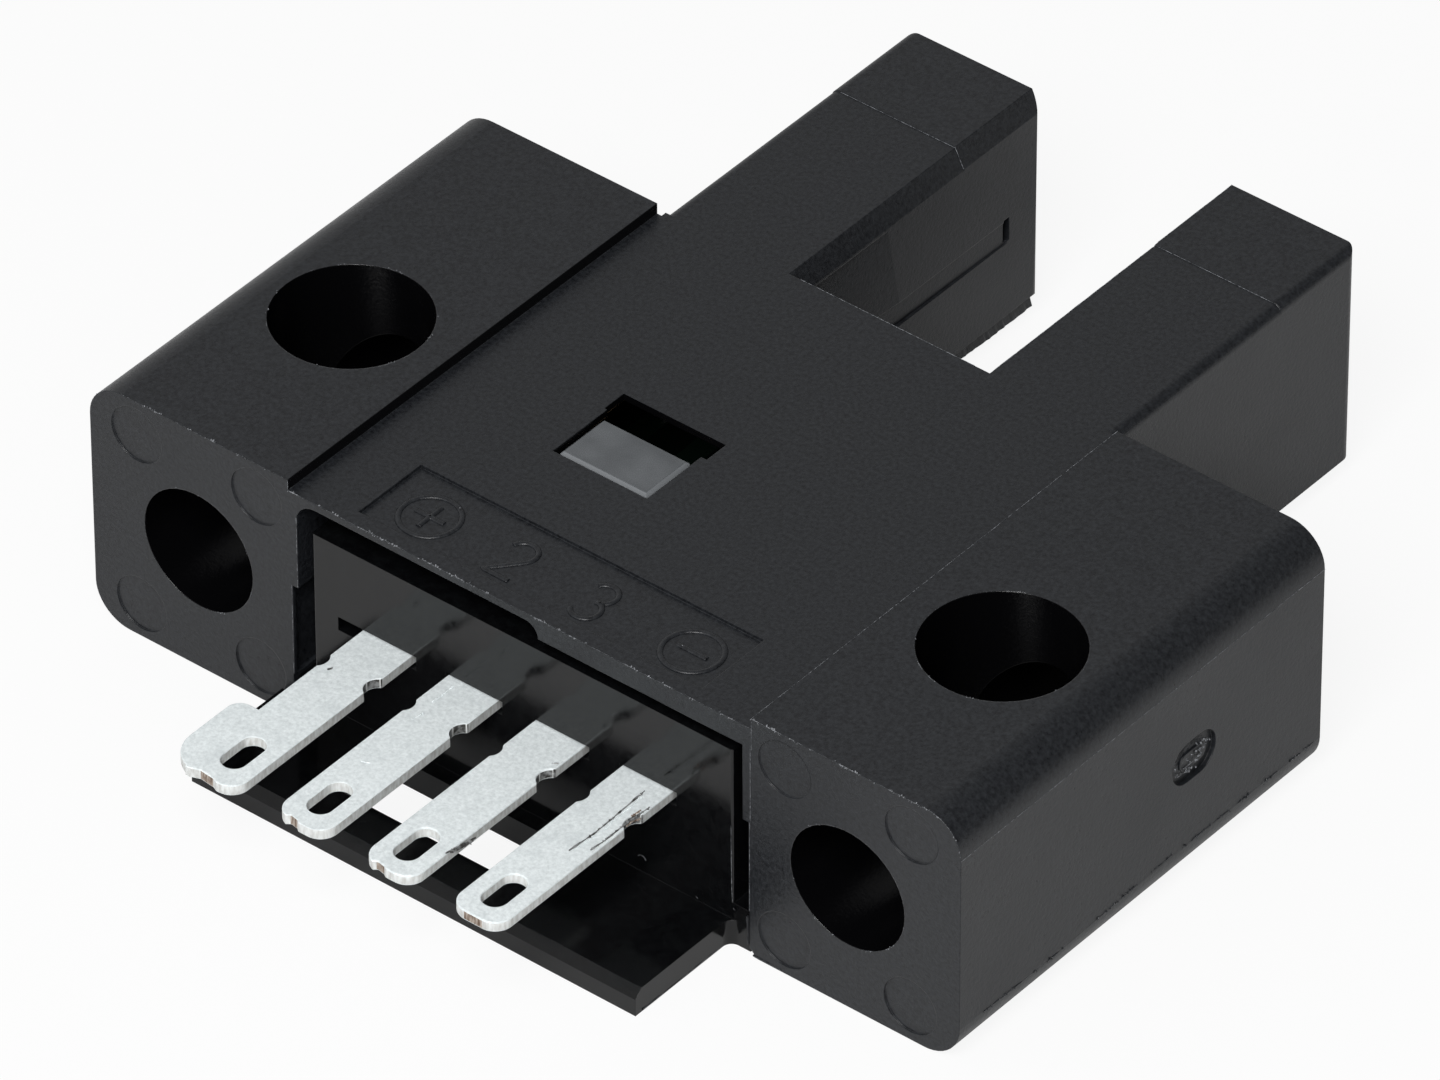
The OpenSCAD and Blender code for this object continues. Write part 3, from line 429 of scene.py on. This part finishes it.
# The terminal legend in the sunk field. Low ridges, engraved into the mould: a
# circled plus over the supply terminal, a circled minus over ground, and plain
# numerals over the two between.
ridge, given, result = start_geometry_tree("engraved_ridge", (
    ("Width", "NodeSocketFloat", 0.2 * MM), ("Height", "NodeSocketFloat", 0.06 * MM),
    ("Finish", "NodeSocketMaterial", None)))
tree = ridge
line = add_node(tree, "GeometryNodeMeshToCurve", Mesh=given["Geometry"])
steps = add_node(tree, "GeometryNodeResampleCurve", {"mode": "LENGTH"}, Curve=line.outputs[0], Length=0.05 * MM)
level = add_node(tree, "GeometryNodeSetCurveNormal", {"mode": "Z_UP"}, Curve=steps.outputs[0])
size = add_node(tree, "ShaderNodeCombineXYZ", X=given["Width"], Y=given["Height"], Z=1.0)
half = add_node(tree, "ShaderNodeVectorMath", {"operation": "MULTIPLY"}, in0=size.outputs[0], in1=(0.5, 1.0, 1.0))
ring = add_node(tree, "GeometryNodeCurvePrimitiveCircle", Resolution=10, Radius=1.0)
dome = add_node(tree, "GeometryNodeTransform", Geometry=ring.outputs[0], Scale=half.outputs[0])
body = add_node(tree, "GeometryNodeCurveToMesh", Curve=level.outputs[0], Profile_Curve=dome.outputs[0],
                Fill_Caps=True)
solid = add_node(tree, "GeometryNodeRealizeInstances", Geometry=body.outputs[0])
done = add_node(tree, "GeometryNodeSetMaterial", Geometry=solid.outputs[0], Material=given["Finish"])
tree.links.new(done.outputs[0], result[0])

field_z, line_y = middle_top - 0.09, -4.13  # the field's floor, and the middle of the legend
circle_r, bar = 0.73, 0.42  # a sign's circle, and half the length of its bars
marks = []
for x, crossed in ((-3.7, True), (3.95, False)):
    marks.append(arc((x, line_y, field_z), circle_r, 0, 360, steps=48))
    marks.append([(x - bar, line_y, field_z), (x + bar, line_y, field_z)])
    if crossed:
        marks.append([(x, line_y - bar, field_z), (x, line_y + bar, field_z)])
two = arc((-1.24, line_y + 0.32, field_z), 0.36, 165, -45, steps=16)
marks.append(two + [(-1.6, line_y - 0.66, field_z), (-0.86, line_y - 0.66, field_z)])
marks.append(arc((1.13, line_y + 0.32, field_z), 0.34, 150, -80, steps=16)
             + arc((1.13, line_y - 0.32, field_z), 0.36, 80, -150, steps=16))
grow_on_lines("legend_ridges", ridge, marks, "black_moulding", Width=0.15 * MM, Height=0.04 * MM,
              Finish=moulded_polyester)
# painted highlights: pale crumbs along the ridges' tops stand for glints
grow_on_lines("legend_glints", flash_line,
              [[(x, y, z + 0.035) for x, y, z in row] for row in marks], "black_moulding",
              Thread=0.002 * MM, Crumb=0.04 * MM, Spacing=0.12 * MM, Scatter=0.03 * MM, Bare_share=0.64, Seed=14,
              Finish=pale_flash_and_highlight)

# The terminal holder. The same resin without glass, moulded against a polished
# steel insert, so that its front block mirrors the terminals. It slides in from
# the front and latches on the housing. Off polished steel it is near black, with a
# slow ripple of sink under the skin and a haze of fine wiping scratches.
polished_resin, tree, shader, place = start_material("polished_black_resin")
ripple = noise(tree, place, 1.8, 2.0)
haze = noise(tree, place, 0.25, 5.0, 0.75)
gloss = ramp(tree, haze.outputs["Fac"], 0.35, 0.7, 0.1, 0.18)
black = two_tones(tree, haze, 0.4, 0.65, "#050506", "#0a0b0c")
rounded = add_node(tree, "ShaderNodeBevel", {"samples": 6}, Radius=0.018 * MM)
bump = add_node(tree, "ShaderNodeBump", Height=ripple.outputs["Fac"], Distance=0.02 * MM, Strength=0.15,
                Normal=rounded.outputs[0])
plug(tree, shader, Base_Color=black.outputs["Result"], Roughness=gloss.outputs[0], Normal=bump.outputs[0], IOR=1.5,
     Specular_IOR_Level=0.36)
finish_cad_node("terminal_holder", polished_resin)
# knocks on the block's face and the tongue's edges
grow_on_lines("holder_knocks", flash_line, [
    arc((3.5, -5.41, 1.05), 0.12, 150, 20, "xz", 6), [(6.12, -5.41, 1.45), (6.14, -5.41, 1.2)],
    [(6.1, -5.42, 3.4), (6.12, -5.42, 1.5)], [(5.08, -5.41, 0.8), (5.12, -5.41, 0.76)],
    [(6.16, -5.41, 1.02), (6.2, -5.41, 0.99)]], "gloss_black",
    Thread=0.012 * MM, Crumb=0.02 * MM, Spacing=0.03 * MM, Scatter=0.005 * MM, Bare_share=0.3, Seed=2,
    Finish=pale_flash_and_highlight)


# The four terminals. Brass strip, tin plated and then stamped: the plated faces are
# a soft mottled silver, the punch rolls their upper edges over, and the ends where
# the tie bar was cut off show bare brass.
def bevelled_copy(name, radius, segments, least_angle):
    """A merged copy of a CAD node with its hard edges rounded; it stands for that node."""
    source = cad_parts[name]
    form = bmesh.new()
    form.from_mesh(source.data)
    bmesh.ops.remove_doubles(form, verts=form.verts, dist=0.0005 * MM)
    bmesh.ops.dissolve_limit(form, angle_limit=math.radians(1.0), verts=form.verts, edges=form.edges)
    sharp = [e for e in form.edges if len(e.link_faces) == 2 and e.calc_face_angle(0.0) > math.radians(least_angle)]
    bmesh.ops.bevel(form, geom=sharp, offset=radius, offset_type="OFFSET", segments=segments, profile=0.5,
                    affect="EDGES", clamp_overlap=True)
    bmesh.ops.recalc_face_normals(form, faces=form.faces)
    mesh = bpy.data.meshes.new(name + "_shown")
    form.to_mesh(mesh)
    form.free()
    made = bpy.data.objects.new(name + "_shown", mesh)
    bpy.context.collection.objects.link(made)
    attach(made, "root")
    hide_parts(name)
    return made


tinned_brass, tree, shader, place = start_material("matt_tinned_brass")
grain = noise(tree, place, 0.1, 4.0, 0.75)
stain = noise(tree, place, 0.7, 3.0, 0.6)
tin = two_tones(tree, grain, 0.3, 0.7, "#c9d0d1", "#eaf0f1")
dull = ramp(tree, stain.outputs["Fac"], 0.52, 0.75, high=0.5)
plated = blend(tree, dull.outputs[0], tin.outputs["Result"], "#bcc3c5")
gloss = ramp(tree, grain.outputs["Fac"], 0.3, 0.7, 0.42, 0.6)
bump = add_node(tree, "ShaderNodeBump", Height=grain.outputs["Fac"], Distance=0.01 * MM, Strength=0.5)
plug(tree, shader, Base_Color=plated.outputs["Result"], Roughness=gloss.outputs[0], Normal=bump.outputs[0],
     Metallic=0.28)

# Brass torn through its thickness: coppery, streaked along the cut.
sheared_brass, tree, shader, place = start_material("sheared_brass")
stretch = add_node(tree, "ShaderNodeMapping", Vector=place, Scale=(1.0, 1.0, 0.25))
streak = noise(tree, stretch.outputs[0], 0.06, 3.0)
brass = two_tones(tree, streak, 0.35, 0.65, "#6a5647", "#bcb0a5")
plug(tree, shader, Base_Color=brass.outputs["Result"], Metallic=0.7, Roughness=0.5)

# Tin smeared over the punched sides: duller than the faces, streaked along the cut.
punched_side, tree, shader, place = start_material("punched_tin_side")
stretch = add_node(tree, "ShaderNodeMapping", Vector=place, Scale=(1.0, 1.0, 0.3))
streak = noise(tree, stretch.outputs[0], 0.09, 4.0)
smear = two_tones(tree, streak, 0.32, 0.62, "#bdbdba", "#dcdfde")
plug(tree, shader, Base_Color=smear.outputs["Result"], Metallic=0.45, Roughness=0.48)

# Dirt and bare metal in a scratch: dark grey with a brown cast. The same finish is painted shade on the notch walls
# that face +x.
scored_metal_and_shade, tree, shader, place = start_material("scored_tin")
streak = noise(tree, place, 0.12, 3.0)
score = two_tones(tree, streak, 0.4, 0.6, "#3f3e3c", "#8e9090")
plug(tree, shader, Base_Color=score.outputs["Result"], Metallic=0.5, Roughness=0.45)

# The right notches' walls that face +x are painted dark as painted shade, and the cut-off leaves a bare scar in each
# end:
# how far it lies in from the strip's right side, and half its width.
scars = {"terminal_supply": (0.95, 0.26), "terminal_mode": (0.95, 0.12), "terminal_output": (0.95, 0.12),
         "terminal_ground": (0.7, 0.14)}
notch_y, notch_half, scar_deep = -6.74 * MM, 0.33 * MM, 0.12 * MM
on_side, on_scar, on_notch_shade = 1, 2, 3  # places in the list of finishes
for name, (scar_in, scar_half) in scars.items():
    strip = bevelled_copy(name, 0.035 * MM, 2, 40)
    for finish in (tinned_brass, punched_side, sheared_brass, scored_metal_and_shade):
        strip.data.materials.append(finish)
    tip_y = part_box(name)[0][1]
    scar_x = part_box(name)[1][0] - scar_in * MM
    for face in strip.data.polygons:
        if abs(face.normal.z) < 0.35:
            face.material_index = on_side
            # painted shade: the notch wall that faces +x gets the dark scored finish
            if face.normal.x > 0.55 and abs(face.center.y - notch_y) < notch_half and abs(face.normal.y) > 0.03:
                face.material_index = on_notch_shade
            at_scar = abs(face.center.x - scar_x) < scar_half * MM
            if face.normal.y < -0.4 and face.center.y < tip_y + scar_deep and at_scar:
                face.material_index = on_scar
for name in ("emitter_leads", "detector_leads", "transistor_leads"):
    finish_cad_node(name, tinned_brass)

plate_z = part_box("terminal_ground")[1][2] / MM
# two long scores run from the right notch of the ground terminal towards its end
grow_on_lines("ground_scores", flash_line, [
    [(3.88, -5.75, plate_z), (3.92, -6.67, plate_z), (3.95, -7.58, plate_z), (3.89, -8.4, plate_z)],
    [(4.33, -6.15, plate_z), (4.28, -6.87, plate_z), (4.29, -7.62, plate_z), (4.25, -8.1, plate_z)]], "tinned",
    Thread=0.05 * MM, Crumb=0.05 * MM, Spacing=0.05 * MM, Scatter=0.02 * MM, Bare_share=0.28, Seed=7,
    Finish=scored_metal_and_shade)
grow_on_lines("terminal_scores", flash_line, [
    [(1.81, -10.21, plate_z), (1.9, -9.8, plate_z), (1.98, -9.4, plate_z)],
    [(1.9, -10.1, plate_z), (1.98, -9.7, plate_z), (2.0, -9.5, plate_z)],
    [(1.68, -6.3, plate_z), (1.74, -6.25, plate_z)], [(-4.42, -6.95, plate_z), (-4.36, -6.85, plate_z)]], "tinned",
    Thread=0.045 * MM, Crumb=0.05 * MM, Spacing=0.05 * MM, Scatter=0.02 * MM, Bare_share=0.3, Seed=7,
    Finish=scored_metal_and_shade)
grow_on_lines("terminal_burrs", flash_line, [
    [(3.97, -6.0, plate_z), (4.0, -6.67, plate_z), (4.03, -7.58, plate_z), (3.97, -8.3, plate_z)],
    [(-1.72, -8.95, plate_z), (-1.55, -8.88, plate_z)], [(-1.82, -6.35, plate_z), (-1.82, -5.6, plate_z)],
    [(-1.8, -7.1, plate_z), (-1.74, -6.8, plate_z)]], "tinned",
    Thread=0.03 * MM, Crumb=0.04 * MM, Spacing=0.05 * MM, Scatter=0.015 * MM, Bare_share=0.3, Seed=19,
    Finish=tinned_brass)
grow_on_lines("notch_copper", flash_line, [
    [(4.36, -6.5, plate_z - 0.08), (4.3, -6.68, plate_z - 0.05), (4.3, -6.9, plate_z - 0.05)],
    [(4.24, -6.36, plate_z), (4.22, -6.62, plate_z)]], "tinned",
    Thread=0.035 * MM, Crumb=0.06 * MM, Spacing=0.05 * MM, Scatter=0.02 * MM, Bare_share=0.3, Seed=23,
    Finish=sheared_brass)

# The indicator window. A small block of smoky polycarbonate with a mould-polished
# top; faces that tilt away from up are painted paler, a painted highlight on its bevelled edges. It stands astride the
# lamp and pipes its light upwards.
smoky_polycarbonate, tree, shader, place = start_material("smoky_polycarbonate")
cloud = noise(tree, place, 0.9, 2.0)
dust = noise(tree, place, 0.07, 2.0)
smoke = two_tones(tree, cloud, 0.35, 0.65, "#484b4e", "#55585b")
gloss = ramp(tree, dust.outputs["Fac"], 0.5, 0.8, 0.16, 0.4)
facing = add_node(tree, "ShaderNodeNewGeometry")
slope = add_node(tree, "ShaderNodeSeparateXYZ", Vector=facing.outputs["Normal"])
# painted highlight: the colour turns paler the more a face tilts away from up
bevel_highlight_mask = ramp(tree, slope.outputs["Z"], 0.97, 0.8)
smoke_with_painted_highlight = blend(tree, bevel_highlight_mask.outputs[0], smoke.outputs["Result"], "#6d7073")
plug(tree, shader, Base_Color=smoke_with_painted_highlight.outputs["Result"], Roughness=gloss.outputs[0], IOR=1.58,
     Transmission_Weight=0.15)
window = bevelled_copy("indicator_window", 0.09 * MM, 3, 25)
window.data.materials.append(smoky_polycarbonate)

# The circuit board. Glass-epoxy laminate, routed to a U so that its arms reach into
# the legs; copper tracks show as raised lines under the dark green solder resist.
board_laminate, tree, shader, place = start_material("solder_resist_laminate")
weave = add_node(tree, "ShaderNodeTexBrick", {"offset": 0.5}, Vector=place, Scale=1 / (0.5 * MM), Mortar_Size=0.12,
                 Mortar_Smooth=0.6)
lanes = add_node(tree, "ShaderNodeTexWave", {"wave_type": "BANDS", "bands_direction": "X"}, Vector=place,
                 Scale=0.22 / MM, Distortion=3.0, Detail=0.0, Detail_Scale=0.4)
track = ramp(tree, lanes.outputs["Fac"], 0.62, 0.68)
resist = blend(tree, track.outputs[0], "#040a07", "#0a1710")
cloth = add_node(tree, "ShaderNodeMix", {"data_type": "RGBA", "blend_type": "MULTIPLY"}, Factor=0.25,
                 A=resist.outputs["Result"], B=weave.outputs["Color"])
bump = add_node(tree, "ShaderNodeBump", Height=track.outputs[0], Distance=0.02 * MM, Strength=0.7)
plug(tree, shader, Base_Color=cloth.outputs["Result"], Normal=bump.outputs[0], Roughness=0.32)
finish_cad_node("circuit_board", board_laminate)

# Solder joints. Reflowed tin alloy that wets the pad and climbs each lead in a
# small concave fillet; the terminals' tails get a full ring above the board.
solder_metal, tree, shader, place = start_material("reflowed_solder")
grain = noise(tree, place, 0.15, 3.0)
gloss = ramp(tree, grain.outputs["Fac"], 0.0, 1.0, 0.2, 0.45)
plug(tree, shader, Roughness=gloss.outputs[0], Base_Color=srgb("#c6c9cb"), Metallic=1.0)

joints, given, result = start_geometry_tree("solder_joints", (
    ("Foot radius", "NodeSocketFloat", 0.45 * MM), ("Height", "NodeSocketFloat", 0.2 * MM),
    ("Stretch", "NodeSocketFloat", 1.0), ("Finish", "NodeSocketMaterial", None)))
tree = joints
drop = add_node(tree, "GeometryNodeMeshUVSphere", Segments=20, Rings=10, Radius=1.0)
where = add_node(tree, "GeometryNodeInputPosition")
axis = add_node(tree, "ShaderNodeSeparateXYZ", Vector=where.outputs[0])
above = calculate(tree, "MAXIMUM", axis.outputs["Z"], 0.0)
pull = calculate(tree, "POWER", above.outputs[0], 0.6)
slim = ramp(tree, pull.outputs[0], 0.0, 1.0, 1.0, 0.45)
hollow = add_node(tree, "ShaderNodeCombineXYZ", X=slim.outputs[0], Y=slim.outputs[0], Z=1.0)
waisted = add_node(tree, "ShaderNodeVectorMath", {"operation": "MULTIPLY"}, in0=where.outputs[0],
                   in1=hollow.outputs[0])
flat = add_node(tree, "ShaderNodeSeparateXYZ", Vector=waisted.outputs[0])
up = calculate(tree, "MAXIMUM", flat.outputs["Z"], -0.05)
seat = add_node(tree, "ShaderNodeCombineXYZ", X=flat.outputs["X"], Y=flat.outputs["Y"], Z=up.outputs[0])
fillet = add_node(tree, "GeometryNodeSetPosition", Geometry=drop.outputs[0], Position=seat.outputs[0])
long = calculate(tree, "MULTIPLY", given["Foot radius"], given["Stretch"])
size = add_node(tree, "ShaderNodeCombineXYZ", X=long.outputs[0], Y=given["Foot radius"], Z=given["Height"])
placed = add_node(tree, "GeometryNodeInstanceOnPoints", Points=given["Geometry"], Instance=fillet.outputs[0],
                  Scale=size.outputs[0])
solid = add_node(tree, "GeometryNodeRealizeInstances", Geometry=placed.outputs[0])
done = add_node(tree, "GeometryNodeSetMaterial", Geometry=solid.outputs[0], Material=given["Finish"])
tree.links.new(done.outputs[0], result[0])


board_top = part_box("circuit_board")[1][2] / MM


def ends(name, across):
    """The middles of the two ends of a small part on the board, in mm, at the board's top."""
    low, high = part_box(name)
    y = (low[1] + high[1]) / 2 / MM
    return [[(low[0] / MM - across, y, board_top)], [(high[0] / MM + across, y, board_top)]]


tail_in, tail_half = 0.73, 0.14  # mm in from the strip's right side, and from its inner end
tails = []
for name in scars:
    low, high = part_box(name)
    tails.append([(high[0] / MM - tail_in, high[1] / MM - tail_half, board_top)])
grow_on_lines("solder_tails", joints, tails, "tinned", Foot_radius=0.62 * MM, Height=0.3 * MM, Finish=solder_metal)
feet = []
for name in ("indicator_led", "emitter_resistor", "indicator_resistor", "bypass_capacitor"):
    feet += ends(name, 0.03)
grow_on_lines("solder_chips", joints, feet, "tinned", Foot_radius=0.36 * MM, Height=0.24 * MM, Stretch=0.7,
              Finish=solder_metal)
feet = []
for name, side, count in (("emitter_leads", 1, 2), ("detector_leads", -1, 4)):
    low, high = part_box(name)
    for i in range(count):
        y = (low[1] / MM + 0.14) + (high[1] - low[1] - 0.28 * MM) / MM * i / (count - 1)
        feet.append([((high[0] if side > 0 else low[0]) / MM - side * 0.25, y, board_top)])
grow_on_lines("solder_packages", joints, feet, "tinned", Foot_radius=0.17 * MM, Height=0.2 * MM, Stretch=1.5,
              Finish=solder_metal)
low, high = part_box("transistor_leads")
x = (low[0] + high[0]) / 2 / MM
feet = [[(x - 0.95, low[1] / MM + 0.15, board_top)], [(x + 0.95, low[1] / MM + 0.15, board_top)],
        [(x, high[1] / MM - 0.15, board_top)]]
grow_on_lines("solder_transistor", joints, feet, "tinned", Foot_radius=0.26 * MM, Height=0.16 * MM,
              Finish=solder_metal)

# The emitter and the detector. Side-looking packages cast in epoxy, with a small
# lens that looks across the slot: the emitter is water clear with a faint blue
# tint, and the detector is dyed nearly black, to let only infrared through.
clear_epoxy, tree, shader, place = start_material("clear_cast_epoxy")
swirl = noise(tree, place, 0.5, 2.0)
tint = two_tones(tree, swirl, 0.35, 0.65, "#a9bccd", "#c3d0dc")
plug(tree, shader, Base_Color=tint.outputs["Result"], Roughness=0.12, IOR=1.54, Transmission_Weight=0.6)
finish_cad_node("infrared_emitter", clear_epoxy)

dyed_epoxy, tree, shader, place = start_material("infrared_pass_epoxy")
swirl = noise(tree, place, 0.5, 2.0)
dye = two_tones(tree, swirl, 0.35, 0.65, "#1d1413", "#2b1d1a")
plug(tree, shader, Base_Color=dye.outputs["Result"], Roughness=0.14, IOR=1.54, Transmission_Weight=0.15)
finish_cad_node("photodetector", dyed_epoxy)


# The small parts on the board. Two-ended chips with plated caps, and the output
# transistor in black moulding compound, reflow soldered on the board's top.
def capped_material(name, node_name, cap, body, other, grain_mm, roughness):
    """A chip's finish: its body in two close tones, and a silver cap over each end along X."""
    made, tree, shader, place = start_material(name)
    low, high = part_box(node_name)
    axis = add_node(tree, "ShaderNodeSeparateXYZ", Vector=place)
    off = calculate(tree, "SUBTRACT", axis.outputs["X"], (low[0] + high[0]) / 2)
    away = calculate(tree, "ABSOLUTE", off.outputs[0])
    plated = calculate(tree, "GREATER_THAN", away.outputs[0], (high[0] - low[0]) / 2 - cap)
    grain = noise(tree, place, grain_mm, 3.0)
    tone = blend(tree, grain.outputs["Fac"], body, other)
    ended = blend(tree, plated.outputs[0], tone.outputs["Result"], "#c9ccce")
    rough = ramp(tree, grain.outputs["Fac"], 0.0, 1.0, roughness - 0.08, roughness + 0.08)
    plug(tree, shader, Base_Color=ended.outputs["Result"], Roughness=rough.outputs[0], Metallic=plated.outputs[0])
    finish_cad_node(node_name, made)


capped_material("glazed_resistor_a", "emitter_resistor", 0.25 * MM, "#1c1c1e", "#2a2a2d", 0.2, 0.35)
capped_material("glazed_resistor_b", "indicator_resistor", 0.25 * MM, "#1c1c1e", "#2a2a2d", 0.2, 0.35)
capped_material("fired_ceramic_capacitor", "bypass_capacitor", 0.3 * MM, "#a8875c", "#bd9d72", 0.12, 0.5)
capped_material("diffusing_lamp_resin", "indicator_led", 0.28 * MM, "#dcd3bd", "#eae4d2", 0.3, 0.4)

moulding_compound, tree, shader, place = start_material("transistor_moulding_compound")
grain = noise(tree, place, 0.05, 3.0)
tone = blend(tree, grain.outputs["Fac"], "#1a1a1b", "#2b2b2c")
bump = add_node(tree, "ShaderNodeBump", Height=grain.outputs["Fac"], Distance=0.006 * MM, Strength=0.6)
plug(tree, shader, Base_Color=tone.outputs["Result"], Normal=bump.outputs[0], Roughness=0.55)
finish_cad_node("output_transistor", moulding_compound)

# The table and the light tent. A seamless white sweep runs under the part inside a
# white tent that is dimmer at the back, on the right and above, with a wide lamp
# beside the camera and a low one in front.
sweep_paper, tree, shader, place = start_material("white_sweep_paper")
plug(tree, shader, Base_Color=srgb("#cfcfcf"), Roughness=0.8)
path = add_node(tree, "ShaderNodeLightPath")
# the camera sees nine tenths of the paper's glow, and the part's faces mirror little of it
mirrored = calculate(tree, "MULTIPLY", path.outputs["Is Glossy Ray"], 0.15)
seen = calculate(tree, "MAXIMUM", path.outputs["Is Camera Ray"], path.outputs["Is Transmission Ray"])
seen = calculate(tree, "MAXIMUM", seen.outputs[0], mirrored.outputs[0])
share = calculate(tree, "MULTIPLY", seen.outputs[0], 0.9)
glow = add_node(tree, "ShaderNodeEmission", Color=(1, 1, 1, 1), Strength=1.0)
mixed = add_node(tree, "ShaderNodeMixShader", in0=share.outputs[0], in1=shader.outputs[0], in2=glow.outputs[0])
tree.links.new(mixed.outputs[0], tree.nodes["Material Output"].inputs["Surface"])
bpy.ops.mesh.primitive_plane_add(size=3.0, location=(0, 0, -0.02 * MM))
sweep = bpy.context.object
sweep.name = "sweep"
sweep.data.materials.append(sweep_paper)

world = bpy.data.worlds.new("tent")
bpy.context.scene.world = world
world.use_nodes = True
tree = world.node_tree
tree.nodes.clear()
path = add_node(tree, "ShaderNodeLightPath")
toward = add_node(tree, "ShaderNodeTexCoord").outputs["Generated"]
dim_side = (0.66, 0.60, 0.45)
behind = add_node(tree, "ShaderNodeVectorMath", {"operation": "DOT_PRODUCT"}, in0=toward, in1=dim_side)
strength = add_node(tree, "ShaderNodeMapRange", {"interpolation_type": "SMOOTHSTEP"}, Value=behind.outputs["Value"],
                    From_Min=-0.15, From_Max=0.95, To_Min=0.62, To_Max=0.17)
dim = add_node(tree, "ShaderNodeBackground", Color=(1, 1, 1, 1), Strength=strength.outputs[0])
white = add_node(tree, "ShaderNodeBackground", Color=(1, 1, 1, 1), Strength=1.0)
seen = calculate(tree, "MAXIMUM", path.outputs["Is Camera Ray"], path.outputs["Is Transmission Ray"])
mixed = add_node(tree, "ShaderNodeMixShader", in0=seen.outputs[0], in1=dim.outputs[0], in2=white.outputs[0])
add_node(tree, "ShaderNodeOutputWorld", Surface=mixed.outputs[0])


def area_lamp(name, place, aim, size, watts):
    """A rectangular lamp at place that points at aim, in metres."""
    data = bpy.data.lights.new(name, "AREA")
    data.shape, data.size, data.size_y, data.energy = "RECTANGLE", size[0], size[1], watts
    made = bpy.data.objects.new(name, data)
    bpy.context.collection.objects.link(made)
    made.location = place
    made.rotation_mode = "QUATERNION"
    made.rotation_quaternion = (Vector(aim) - Vector(place)).to_track_quat("-Z", "Y")


area_lamp("beside_camera", (0.06, -0.13, 0.17), (0, 0, 0), (0.09, 0.09), 0.5)
area_lamp("front", (0.09, -0.14, 0.07), (0, 0, 0.003), (0.1, 0.06), 0.04)

# The camera. A long lens at the photograph's angle, 0.34 m from the part.
azimuth, elevation, roll = math.radians(39.2167), math.radians(38.8196), math.radians(-0.1452)
behind = Vector((math.sin(azimuth) * math.cos(elevation), -math.cos(azimuth) * math.cos(elevation),
                 math.sin(elevation)))
level = Vector((math.cos(azimuth), math.sin(azimuth), 0))
rise = behind.cross(level)
right = level * math.cos(roll) + rise * math.sin(roll)
up = rise * math.cos(roll) - level * math.sin(roll)
aside, above, away = 4.5316, 6.679, 343.453  # mm from the middle of the front's lower edge
eye = right * aside * MM + up * above * MM + behind * away * MM + Vector((0, front * MM, 0))
lens = bpy.data.cameras.new("camera")
lens.sensor_width, lens.lens, lens.clip_start, lens.clip_end = 36.0, 378.63, 0.02, 20.0
camera = bpy.data.objects.new("camera", lens)
bpy.context.collection.objects.link(camera)
camera.matrix_world = Matrix((
    (right.x, up.x, behind.x, eye.x), (right.y, up.y, behind.y, eye.y), (right.z, up.z, behind.z, eye.z),
    (0, 0, 0, 1)))
bpy.context.scene.camera = camera
bpy.context.scene.view_settings.view_transform = "Standard"
